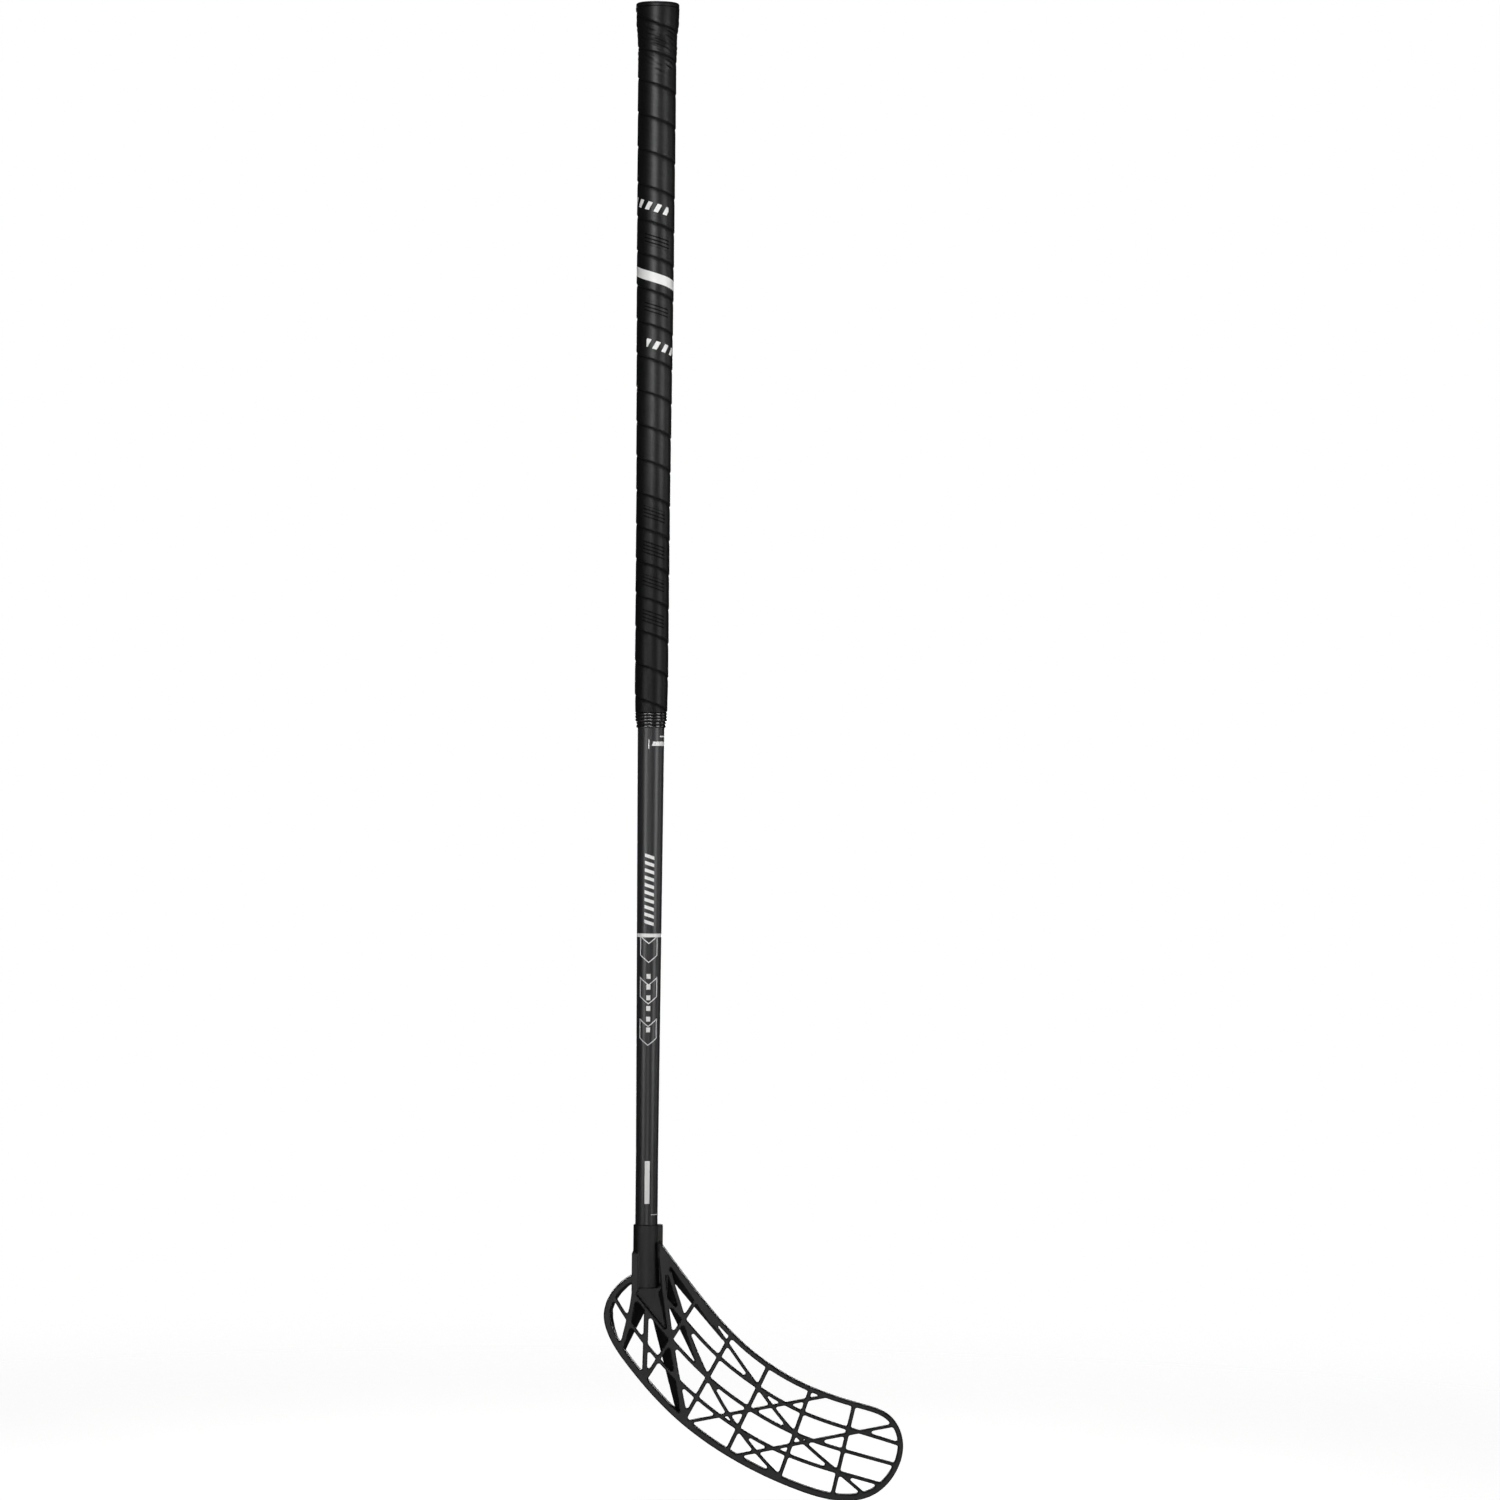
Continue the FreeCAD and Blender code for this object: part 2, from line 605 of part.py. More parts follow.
def socket_body():
    """Outside of the socket: tube, side flange, left fin and screw boss."""
    length = SOCKET_DEPTH + SOCKET_FLOOR
    bottom = -(SOCKET_TOP + length)
    tube = Part.makeCylinder(SOCKET_RADIUS, length, Vector(0, 0, bottom))
    flange_low = Vector(0, -FLANGE_THICKNESS / 2, -(SOCKET_TOP + FLANGE_HEIGHT))
    flange = Part.makeBox(FLANGE_REACH, FLANGE_THICKNESS, FLANGE_HEIGHT, flange_low)
    fin_low = Vector(-FIN_REACH, -BLADE_FRONT, -(SOCKET_TOP + FIN_END))
    fin = Part.makeBox(FIN_WIDTH, HEEL_DEPTH - BLADE_FRONT, FIN_END - FIN_TOP, fin_low)
    boss_start = Vector(0, SOCKET_BORE_RADIUS, -(SOCKET_TOP + SCREW_DROP))
    boss = Part.makeCylinder(SCREW_BOSS_DIAMETER / 2, SCREW_SEAT - SOCKET_BORE_RADIUS, boss_start, BACK)
    return tube.fuse([flange, fin, boss])


def blade():
    pieces = heel_walls() + [socket_plate(), heel_web(), socket_body()]
    body = blade_net().fuse(pieces)
    bore = Part.makeCylinder(SOCKET_BORE_RADIUS, SOCKET_DEPTH + OVERRUN, Vector(0, 0, -SHAFT_LENGTH))
    hole_start = Vector(0, 0, -(SOCKET_TOP + SCREW_DROP))
    hole_radius = (SCREW_DIAMETER + SCREW_CLEARANCE) / 2
    hole = Part.makeCylinder(hole_radius, SCREW_SEAT + OVERRUN, hole_start, BACK)
    return body.cut([bore, hole])


def blade_screw():
    """Pan-head tapping screw with a cross recess, head outwards."""
    tip = SCREW_SEAT - SCREW_LENGTH
    shank_start = tip + SCREW_TIP_LENGTH
    height = -(SOCKET_TOP + SCREW_DROP)

    def at(depth):
        return Vector(0, depth, height)

    point = Part.makeCone(SCREW_TIP_DIAMETER / 2, SCREW_DIAMETER / 2, SCREW_TIP_LENGTH, at(tip), BACK)
    shank = Part.makeCylinder(SCREW_DIAMETER / 2, SCREW_LENGTH - SCREW_TIP_LENGTH, at(shank_start), BACK)
    head = Part.makeCylinder(SCREW_HEAD_DIAMETER / 2, SCREW_HEAD_HEIGHT, at(SCREW_SEAT), BACK)
    middle = SCREW_SEAT + SCREW_HEAD_HEIGHT / 2
    head = head.makeFillet(SCREW_HEAD_ROUND, [edge for edge in head.Edges if edge.CenterOfMass.y > middle])
    floor = SCREW_SEAT + SCREW_HEAD_HEIGHT - SCREW_RECESS_DEPTH
    recess = []
    arm = (SCREW_RECESS_LENGTH, SCREW_RECESS_WIDTH)
    for wide, tall in (arm, arm[::-1]):
        corner = Vector(-wide / 2, floor, height - tall / 2)
        recess.append(Part.makeBox(wide, SCREW_RECESS_DEPTH + OVERRUN, tall, corner))
    return head.fuse([shank, point]).removeSplitter().cut(recess)


def main():
    os.makedirs("parts", exist_ok=True)
    nodes = {
        "shaft_tube": shaft_tube(),
        "end_cap": end_cap(),
        "grip_tape": grip_tape(),
        "grip_collar": grip_collar(),
        "shaft_sticker": shaft_sticker(),
        "blade": blade(),
        "blade_screw": blade_screw(),
    }
    for name, shape in nodes.items():
        shape.exportStep(os.path.join("parts", name + ".step"))
        print(f"{name}: {len(shape.Solids)} solid, {shape.Volume / 1000:.2f} cm3, valid {shape.isValid()}")
    print(f"grip_tape: {tape_last_turn():.2f} turns, least gap to itself {tape_least_gap():.2f} mm")


main()
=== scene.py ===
# %% [markdown]
# # A floorball stick, dressed around its CAD frame
# The stick is a tapered composite tube with a soft tape wound round its upper half, a rubber collar under
# the tape and a moulded plastic blade on its lower end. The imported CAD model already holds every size, so
# it is loaded first and stays fixed. Each piece below is modelled where its CAD node is and takes its
# place. Only the sticker's node stays, and gets a finish.

# %% Load the frame
import math

import bpy
import numpy as np
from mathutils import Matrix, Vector


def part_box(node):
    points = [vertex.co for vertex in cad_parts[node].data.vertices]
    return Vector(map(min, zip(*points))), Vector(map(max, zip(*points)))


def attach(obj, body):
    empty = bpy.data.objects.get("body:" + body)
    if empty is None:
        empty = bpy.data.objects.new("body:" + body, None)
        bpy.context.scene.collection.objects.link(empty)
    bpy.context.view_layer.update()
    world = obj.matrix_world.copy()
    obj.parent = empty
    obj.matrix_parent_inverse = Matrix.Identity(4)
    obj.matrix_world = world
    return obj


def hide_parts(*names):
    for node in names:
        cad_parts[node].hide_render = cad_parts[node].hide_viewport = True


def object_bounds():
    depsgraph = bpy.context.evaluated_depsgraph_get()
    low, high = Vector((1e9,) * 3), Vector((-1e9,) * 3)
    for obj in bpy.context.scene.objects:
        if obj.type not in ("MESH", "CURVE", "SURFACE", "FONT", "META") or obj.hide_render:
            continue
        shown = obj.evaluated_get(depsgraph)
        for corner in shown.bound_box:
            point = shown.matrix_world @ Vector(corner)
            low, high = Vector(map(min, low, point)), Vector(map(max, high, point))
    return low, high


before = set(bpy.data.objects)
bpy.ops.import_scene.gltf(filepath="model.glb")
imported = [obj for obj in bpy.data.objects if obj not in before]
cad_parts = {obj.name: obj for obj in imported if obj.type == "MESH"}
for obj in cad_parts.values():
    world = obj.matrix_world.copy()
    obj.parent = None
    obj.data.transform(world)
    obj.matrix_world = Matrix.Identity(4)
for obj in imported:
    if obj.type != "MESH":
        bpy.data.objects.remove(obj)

cad_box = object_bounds()
print("CAD nodes:", ", ".join(sorted(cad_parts)))

# %% [markdown]
# ## Measures
# A stick is measured from its butt, which is the origin here, so every place along it is a drop in
# millimetres. The frame gives most of them: a node's box says where it starts and ends and how thick it is
# at its thickest. Sizes are written in millimetres, as on a drawing, and MM turns them into Blender's
# metres.

# %% Measures from the frame
MM = 0.001

lowest = {name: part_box(name)[0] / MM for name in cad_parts}
highest = {name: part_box(name)[1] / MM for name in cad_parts}
starts = {name: -highest[name].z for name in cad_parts}
ends = {name: -lowest[name].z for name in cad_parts}
for name in sorted(starts):
    print(f"{name}: drop {starts[name]:.1f} to {ends[name]:.1f} mm, reaches x {highest[name].x:.1f} mm")

# %% [markdown]
# ## Turning a profile
# Shaft, end cap and collar are round, so each is one profile spun about the stick's axis, as on a lathe. A
# plane is added, merged to a single vertex and extruded from point to point, which is what drawing with E
# and G does by hand. Spin then leaves a seam and, on the axis, a pole of many vertices, so both are merged,
# and the normals are recalculated because the spin may have turned the skin inside out.

# %% Helpers that draw a profile
ARC_STEPS = 7


def single_vertex(name):
    """Starts a piece from a plane that is merged to one vertex at the origin, and stays in edit mode."""
    bpy.ops.object.select_all(action="DESELECT")
    bpy.ops.mesh.primitive_plane_add(size=MM)
    piece = bpy.context.active_object
    piece.name = piece.data.name = name
    bpy.ops.object.mode_set(mode="EDIT")
    bpy.ops.mesh.select_all(action="SELECT")
    bpy.ops.mesh.merge(type="CENTER")
    return piece


def draw_profile(points):
    """Moves the vertex to the first (radius, drop) point in millimetres and extrudes it along the others."""
    places = [Vector((radius, 0, -drop)) * MM for radius, drop in points]
    bpy.ops.transform.translate(value=places[0])
    for here, there in zip(places, places[1:]):
        bpy.ops.mesh.extrude_vertices_move(TRANSFORM_OT_translate={"value": there - here})


def arc(centre, radius, start, stop):
    """Points on a round corner of a profile. Its angles are degrees, 0 outwards and 90 towards the butt."""
    angles = [math.radians(start + (stop - start) * step / ARC_STEPS) for step in range(ARC_STEPS + 1)]
    return [(centre[0] + radius * math.cos(a), centre[1] - radius * math.sin(a)) for a in angles]


print("a round corner has", ARC_STEPS, "edges")

# %% Helper that spins a profile
TURN_STEPS = 128
WELD = 0.002 * MM
SMOOTH_ANGLE = math.radians(35)


def turned(name, points):
    """Spins a profile of (radius, drop) points about the stick's axis into a closed, smooth piece."""
    piece = single_vertex(name)
    draw_profile(points)
    bpy.ops.mesh.select_all(action="SELECT")
    bpy.ops.mesh.spin(steps=TURN_STEPS, angle=math.tau, center=(0, 0, 0), axis=(0, 0, 1))
    bpy.ops.mesh.select_all(action="SELECT")
    bpy.ops.mesh.remove_doubles(threshold=WELD)
    bpy.ops.mesh.normals_make_consistent(inside=False)
    bpy.ops.object.mode_set(mode="OBJECT")
    bpy.ops.object.shade_smooth_by_angle(angle=SMOOTH_ANGLE)
    print(f"{name}: {len(piece.data.polygons)} faces")
    return piece


print("a turned piece has", TURN_STEPS, "sides")

# %% [markdown]
# ## Shaft
# The shaft is rolled from fibre and resin on a steel mandrel and ground, so it is a cone that ends in a
# straight stretch for the blade. A profile that runs down the outside and back up the inside gives the tube
# its real wall, which shows when the blade is pulled off. The screw's slot at the back is cut with a
# Boolean, as a drill would.

# %% The shaft tube
SHAFT_WALL = 1.7
SHAFT_MIDDLE_RADIUS = 10.0
SHAFT_TIP_RADIUS = 8.4
SHAFT_STRAIGHT = 100.0

shaft_places = [
    (highest["shaft_tube"].x, starts["shaft_tube"]),
    (SHAFT_MIDDLE_RADIUS, ends["grip_collar"]),
    (SHAFT_TIP_RADIUS, ends["shaft_tube"] - SHAFT_STRAIGHT),
    (SHAFT_TIP_RADIUS, ends["shaft_tube"]),
]
shaft_inside = [(radius - SHAFT_WALL, drop) for radius, drop in reversed(shaft_places)]
shaft = turned("lacquered_shaft", shaft_places + shaft_inside + shaft_places[:1])

# %% The screw's slot in the shaft
SLOT_WIDTH = 4.1
SLOT_LENGTH = 8.0
SLOT_SIDES = 32

screw_drop = (starts["blade_screw"] + ends["blade_screw"]) / 2
bpy.ops.object.select_all(action="DESELECT")
bpy.ops.mesh.primitive_cylinder_add(
    vertices=SLOT_SIDES, radius=SLOT_WIDTH / 2 * MM, depth=2 * SHAFT_TIP_RADIUS * MM,
    location=(0, SHAFT_TIP_RADIUS * MM, -screw_drop * MM), rotation=(math.pi / 2, 0, 0))
slot_cutter = bpy.context.active_object
bpy.ops.object.transform_apply(location=True, rotation=True, scale=True)
for vertex in slot_cutter.data.vertices:
    if vertex.co.z < -screw_drop * MM:
        vertex.co.z -= (SLOT_LENGTH - SLOT_WIDTH) * MM
cut = shaft.modifiers.new("slot", "BOOLEAN")
cut.object = slot_cutter
cut.operation = "DIFFERENCE"
bpy.context.view_layer.objects.active = shaft
bpy.ops.object.modifier_apply(modifier="slot")
bpy.data.objects.remove(slot_cutter)
print("shaft with slot:", len(shaft.data.polygons), "faces")

# %% [markdown]
# ## End cap
# The cap is a moulded rubber disc with a rounded rim, a plug that grips the inside of the tube and a flared
# skirt that the tape is wound over. Only the disc shows, but the whole cap is one turned profile, so it is
# drawn whole. A shallow dimple in the middle of the face is the mark that the mould's gate leaves.

# %% The end cap
CAP_ROUND = 1.6
CAP_UNDER_ROUND = 0.5
CAP_DIMPLE_RADIUS = 2.2
CAP_DIMPLE_DEPTH = 0.35
CAP_PLUG_END = 25.6
CAP_PLUG_RADIUS = 10.4
CAP_PLUG_WALL = 2.0
CAP_SKIRT_RADIUS = 14.1
CAP_SKIRT_LIP = 0.6
CAP_GAP = 0.05

cap_radius = highest["end_cap"].x
cap_under = starts["shaft_tube"]
shaft_at_skirt = highest["shaft_tube"].x + CAP_GAP
cap_profile = [
    (0, CAP_DIMPLE_DEPTH),
    (CAP_DIMPLE_RADIUS - 2 * CAP_DIMPLE_DEPTH, CAP_DIMPLE_DEPTH),
    (CAP_DIMPLE_RADIUS, 0),
    *arc((cap_radius - CAP_ROUND, CAP_ROUND), CAP_ROUND, 90, 0),
    *arc((cap_radius - CAP_UNDER_ROUND, cap_under - CAP_UNDER_ROUND), CAP_UNDER_ROUND, 0, -90),
    (CAP_SKIRT_RADIUS, cap_under),
    (shaft_at_skirt + CAP_SKIRT_LIP, ends["end_cap"]),
    (shaft_at_skirt, ends["end_cap"]),
    (shaft_at_skirt, cap_under),
    (CAP_PLUG_RADIUS, cap_under),
    (CAP_PLUG_RADIUS, CAP_PLUG_END),
    (CAP_PLUG_RADIUS - CAP_PLUG_WALL, CAP_PLUG_END),
    (CAP_PLUG_RADIUS - CAP_PLUG_WALL, cap_under),
    (0, cap_under),
]
end_cap = turned("moulded_cap", cap_profile)

# %% [markdown]
# ## Collar
# The collar is a short stepped rubber ring that holds the tape's end down. Its ridges give the fingers a
# hold when it is rolled up the shaft. They are round with sharp valleys between them, so each ridge is
# drawn as an arc of a few points, three on the wide upper part and two on the lower.

# %% The collar
COLLAR_UPPER_RADIUS = 11.5
COLLAR_LOWER_RADIUS = 10.55
COLLAR_UPPER_RIDGES = 3
COLLAR_LOWER_RIDGES = 2
COLLAR_RIDGE = 0.6
COLLAR_STEP_SHARE = 0.58
COLLAR_BORE = 10.35
RIDGE_POINTS = 10


def ridges(radius, top, bottom, count):
    """A row of round ridges between two drops, each an arc that stands proud of the radius."""
    half = (bottom - top) / count / 2
    bend = (half ** 2 + COLLAR_RIDGE ** 2) / (2 * COLLAR_RIDGE)
    points = []
    for step in range(count * RIDGE_POINTS + 1):
        drop = top + 2 * half * step / RIDGE_POINTS
        from_crest = 2 * half * (step % RIDGE_POINTS) / RIDGE_POINTS - half
        points.append((radius + COLLAR_RIDGE - bend + math.sqrt(bend ** 2 - from_crest ** 2), drop))
    return points


collar_top, collar_end = starts["grip_collar"], ends["grip_collar"]
collar_step = collar_top + COLLAR_STEP_SHARE * (collar_end - collar_top)
collar_profile = [
    (COLLAR_BORE, collar_top),
    *ridges(COLLAR_UPPER_RADIUS, collar_top, collar_step, COLLAR_UPPER_RIDGES),
    *ridges(COLLAR_LOWER_RADIUS, collar_step, collar_end, COLLAR_LOWER_RIDGES),
    (COLLAR_BORE, collar_end),
    (COLLAR_BORE, collar_top),
]
collar = turned("ridged_collar", collar_profile)

# %% [markdown]
# ## Grip tape
# One soft tape is wound down the shaft, and every turn lies over the edge of the turn before it. Its
# outside is therefore one section of the tape carried round a helix, which is what the Screw modifier does:
# the section is drawn once, from the tucked upper edge to the proud lower edge, and wound. Bisect trims
# both ends square, and a last pass moves each vertex out to the grip's tapered outline and creases the
# first turns.

# %% Section of the tape
TAPE_PITCH = 25.6
TAPE_POINT_SPACING = 0.55
# Across the tape in millimetres from its upper edge, and how far the surface lies above the grip's outline
TAPE_SECTION = [
    (0.0, -0.5), (0.5, -0.47), (1.1, -0.36), (1.8, -0.23), (2.6, -0.13), (3.8, -0.07), (6.0, -0.02),
    (9.0, 0.0), (13.0, 0.02), (17.0, 0.05), (20.5, 0.09), (22.8, 0.13), (24.0, 0.16), (24.6, 0.14),
    (25.0, 0.02), (25.25, -0.18), (25.45, -0.36), (TAPE_PITCH, -0.5),
]

section = []
for (here, low), (there, high) in zip(TAPE_SECTION, TAPE_SECTION[1:]):
    count = math.ceil((there - here) / TAPE_POINT_SPACING)
    for step in range(count):
        section.append((here + (there - here) * step / count, low + (high - low) * step / count))
section.append(TAPE_SECTION[-1])
print("points across the tape:", len(section))

# %% Winding the tape
# The drop of the first seam in the middle of the front, while the winding is still even
SEAM_DROP = 12.18
# Two spare turns lie above the grip until they are trimmed, and the section is drawn a quarter turn from
# the front
SPARE_TURNS = 2
FRONT_TO_SECTION = 0.25
TAPE_START = SEAM_DROP - (SPARE_TURNS - FRONT_TO_SECTION) * TAPE_PITCH
TAPE_TURNS = 24
TAPE_STEPS = 64
TAPE_BASE_RADIUS = 14.0

grip = single_vertex("wound_grip")
draw_profile([(TAPE_BASE_RADIUS + rise, TAPE_START + across) for across, rise in section])
bpy.ops.object.mode_set(mode="OBJECT")
wind = grip.modifiers.new("wind", "SCREW")
wind.axis = "Z"
wind.angle = math.tau
wind.screw_offset = -TAPE_PITCH * MM
wind.iterations = TAPE_TURNS
wind.steps = wind.render_steps = TAPE_STEPS
bpy.ops.object.modifier_apply(modifier="wind")
print("grip tape wound:", len(grip.data.polygons), "faces")

# %% Trimming the tape
TAPE_END_GAP = 0.05

tape_start, tape_end = starts["grip_tape"], collar_top - TAPE_END_GAP
bpy.ops.object.mode_set(mode="EDIT")
bpy.ops.mesh.select_all(action="SELECT")
bpy.ops.mesh.remove_doubles(threshold=WELD)
bpy.ops.mesh.select_all(action="SELECT")
bpy.ops.mesh.bisect(plane_co=(0, 0, -tape_start * MM), plane_no=(0, 0, 1), clear_outer=True)
bpy.ops.mesh.select_all(action="SELECT")
bpy.ops.mesh.bisect(plane_co=(0, 0, -tape_end * MM), plane_no=(0, 0, 1), clear_inner=True)
bpy.ops.object.mode_set(mode="OBJECT")
print("grip tape trimmed:", len(grip.data.polygons), "faces")

# %% Measuring the winding


def measured(piece):
    """A piece's vertices as places, with their drops, angles from the front and radii in millimetres."""
    places = np.empty(len(piece.data.vertices) * 3)
    piece.data.vertices.foreach_get("co", places)
    places = places.reshape(-1, 3)
    around = np.arctan2(places[:, 0], -places[:, 1])
    return places, -places[:, 2] / MM, around, np.hypot(places[:, 0], places[:, 1]) / MM


places, drop, around, radii = measured(grip)
rise = radii - TAPE_BASE_RADIUS
turns = drop / TAPE_PITCH - around / math.tau
print(f"winding from turn {turns.min():.1f} to turn {turns.max():.1f}")

# %% Creases of the first turns
# The first turns lie closer over the flare: drops of an even winding, and where they really lie
LAID_DROPS = [
    (tape_start, tape_start), (12.2, 17.2), (37.8, 38.2), (63.4, 62.0), (89.0, 87.6), (140.2, 140.2),
    (tape_end, tape_end),
]
# The tape is stretched over the flare, so its first turns are creased aslant: drops and strengths. The real
# creases are half as wide, and are drawn coarser here so that they show
WRINKLE_FADE = [(9.0, 0.0), (17.0, 1.0), (38.0, 0.9), (58.0, 0.0)]
WRINKLE_HEIGHT = 0.3
# Creases across one turn of the tape, and by how many each leans from the winding on its way round
WRINKLES = [(6, 8), (5, 3)]
# The creases sway on their way round, and come in patches of uneven strength
SWAYS_ROUND = 2
PATCHES_ROUND = 5
PATCH_STRENGTH = 0.6
PATCH_SWING = 0.4

sway = np.sin(SWAYS_ROUND * around)
creases = sum(np.sin(math.tau * across * turns - lean * around + sway) for across, lean in WRINKLES)
patches = PATCH_STRENGTH + PATCH_SWING * np.sin(PATCHES_ROUND * around + math.tau * turns)
off_seam = np.abs(np.sin(math.pi * (turns - SEAM_DROP / TAPE_PITCH)))
laid = np.interp(drop, *zip(*LAID_DROPS))
wrinkle = WRINKLE_HEIGHT * np.interp(laid, *zip(*WRINKLE_FADE)) * patches * off_seam * creases
print(f"creases up to {wrinkle.max():.2f} mm high")

# %% Taper of the grip
# Drops and outside radii of the grip, from the flare under the cap to the thinned end at the collar
GRIP_OUTLINE = [
    (3.9, 16.3), (9.0, 16.15), (15.0, 15.8), (21.0, 15.25), (28.0, 14.7), (36.0, 14.4), (214.7, 13.85),
    (372.9, 12.7), (511.0, 12.45), (531.0, 11.95),
]


def set_radii(piece, places, around, radii):
    """Moves vertices to new distances from the stick's axis, in millimetres."""
    places[:, 0] = radii * np.sin(around) * MM
    places[:, 1] = -radii * np.cos(around) * MM
    piece.data.vertices.foreach_set("co", places.ravel())
    piece.data.update()


outline = np.interp(laid, *zip(*GRIP_OUTLINE)) + rise + wrinkle
places[:, 2] = -laid * MM
set_radii(grip, places, around, outline)
# The finish needs to know how far each place was moved, so that its pattern keeps to the winding
grip.data.attributes.new("moved", "FLOAT", "POINT").data.foreach_set("value", laid - drop)
print(f"grip radius from {outline.min():.1f} to {outline.max():.1f} mm")

# %% [markdown]
# ## Inside of the tape
# The tape is a thin tube with open ends so far. Solidify would copy the steps of its outside to the inside,
# where they would cut into the shaft, so the inside is built from rings instead: both end edges are
# extruded inwards, the upper one once more down the cap's skirt, and the two left open are bridged.

# %% End rings of the tape
# Drops and radii of the inside, which clears the cap's skirt and then the shaft
TAPE_CLEARANCE = 0.3
TAPE_INSIDE = [
    (tape_start, CAP_SKIRT_RADIUS + TAPE_CLEARANCE),
    (ends["end_cap"], shaft_at_skirt + CAP_SKIRT_LIP + TAPE_CLEARANCE),
    (tape_end, SHAFT_MIDDLE_RADIUS + 2 * TAPE_CLEARANCE),
]
OPEN_EDGES = {"use_wire": False, "use_multi_face": False, "use_non_contiguous": False, "use_verts": False}

bpy.ops.object.mode_set(mode="EDIT")
bpy.ops.mesh.select_mode(type="EDGE")
bpy.ops.mesh.select_all(action="DESELECT")
bpy.ops.mesh.select_non_manifold(**OPEN_EDGES)
bpy.ops.mesh.extrude_edges_move()
bpy.ops.object.mode_set(mode="OBJECT")
places, drop, around, radii = measured(grip)
chosen = np.array([vertex.select for vertex in grip.data.vertices])
set_radii(grip, places, around, np.where(chosen, np.interp(drop, *zip(*TAPE_INSIDE)), radii))
print("end rings:", chosen.sum(), "vertices")

# %% Closing the tape's inside
TAPE_SMOOTH_ANGLE = math.radians(70)

for edge in grip.data.edges:
    edge.select = edge.select and grip.data.vertices[edge.vertices[0]].co.z > -ends["end_cap"] * MM
bpy.ops.object.mode_set(mode="EDIT")
bpy.ops.mesh.extrude_edges_move(
    TRANSFORM_OT_translate={"value": (0, 0, (TAPE_INSIDE[0][0] - TAPE_INSIDE[1][0]) * MM)})
narrower = TAPE_INSIDE[1][1] / TAPE_INSIDE[0][1]
bpy.ops.transform.resize(value=(narrower, narrower, 1), center_override=(0, 0, 0))
bpy.ops.mesh.select_non_manifold(**OPEN_EDGES)
bpy.ops.mesh.bridge_edge_loops()
bpy.ops.mesh.select_all(action="SELECT")
bpy.ops.mesh.normals_make_consistent(inside=False)
bpy.ops.mesh.select_mode(type="VERT")
bpy.ops.object.mode_set(mode="OBJECT")
bpy.ops.object.shade_smooth_by_angle(angle=TAPE_SMOOTH_ANGLE)
print("grip tape finished:", len(grip.data.polygons), "faces")

# %% [markdown]
# ## Blade
# The blade is moulded in one shot, so no edge on it is sharp and every rib runs into the next with a small
# round. Its CAD solid has the right ribs but sharp edges, and a bevel would tear where many ribs meet. A
# copy of it is therefore melted instead: Remesh turns it into fine even cells, and Smooth lets the edges
# sink into small rounds. These take a little from the width of a thin rib, so the skin is swollen a little
# along its normals, and Decimate takes back the faces that flat stretches don't need.

# %% A copy of the blade's node


def merged_copy(node, name):
    """Copies a CAD node's loose triangles into a new object and merges them into one skin."""
    bpy.ops.object.select_all(action="DESELECT")
    piece = bpy.data.objects.new(name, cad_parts[node].data.copy())
    bpy.context.scene.collection.objects.link(piece)
    piece.data.materials.clear()
    piece.select_set(True)
    bpy.context.view_layer.objects.active = piece
    if piece.data.has_custom_normals:
        bpy.ops.mesh.customdata_custom_splitnormals_clear()
    bpy.ops.object.mode_set(mode="EDIT")
    bpy.ops.mesh.select_all(action="SELECT")
    bpy.ops.mesh.remove_doubles(threshold=WELD)
    bpy.ops.object.mode_set(mode="OBJECT")
    return piece


blade = merged_copy("blade", "moulded_blade")
print("copy of the blade:", len(blade.data.polygons), "triangles")

# %% Melting the copy
BLADE_CELL = 0.5
BLADE_SMOOTHING = 9

melt = blade.modifiers.new("melt", "REMESH")
melt.mode = "VOXEL"
melt.voxel_size = BLADE_CELL * MM
bpy.ops.object.modifier_apply(modifier="melt")
rounding = blade.modifiers.new("rounding", "SMOOTH")
rounding.iterations = BLADE_SMOOTHING
bpy.ops.object.modifier_apply(modifier="rounding")
print("blade melted:", len(blade.data.polygons), "cells")

# %% Swelling and thinning the blade
# The socket keeps its size, and the swelling comes in below it: drops and shares
BLADE_SWELL = 0.15
SWELL_RUN = 12.0
SWELL_DROPS = [(ends["shaft_tube"], 0.0), (ends["shaft_tube"] + SWELL_RUN, 1.0)]
BLADE_TRIANGLES = 185000

places, drop, _, _ = measured(blade)
normals = np.empty(places.size)
blade.data.vertices.foreach_get("normal", normals)
swell = BLADE_SWELL * MM * np.interp(drop, *zip(*SWELL_DROPS))
blade.data.vertices.foreach_set("co", (places + normals.reshape(-1, 3) * swell[:, None]).ravel())
thinning = blade.modifiers.new("thinning", "DECIMATE")
thinning.ratio = BLADE_TRIANGLES / (2 * len(blade.data.polygons))
bpy.ops.object.modifier_apply(modifier="thinning")
bpy.ops.object.shade_smooth()
print("blade:", len(blade.data.polygons), "triangles")

# %% [markdown]
# ## Blade screw
# One small pan-head screw at the back holds the blade. Its node has the right head and recess, so a merged
# copy only gets its edges broken by a fine bevel, which catches the light as a plated edge does.

# %% The screw
SCREW_EDGE = 0.12
SCREW_EDGE_STEPS = 2

screw = merged_copy("blade_screw", "plated_screw")
edges = screw.modifiers.new("edges", "BEVEL")
edges.width = SCREW_EDGE * MM
edges.segments = SCREW_EDGE_STEPS
edges.limit_method = "ANGLE"
edges.angle_limit = SMOOTH_ANGLE
bpy.ops.object.modifier_apply(modifier="edges")
bpy.ops.object.shade_smooth_by_angle(angle=SMOOTH_ANGLE)
print("screw:", len(screw.data.polygons), "faces")

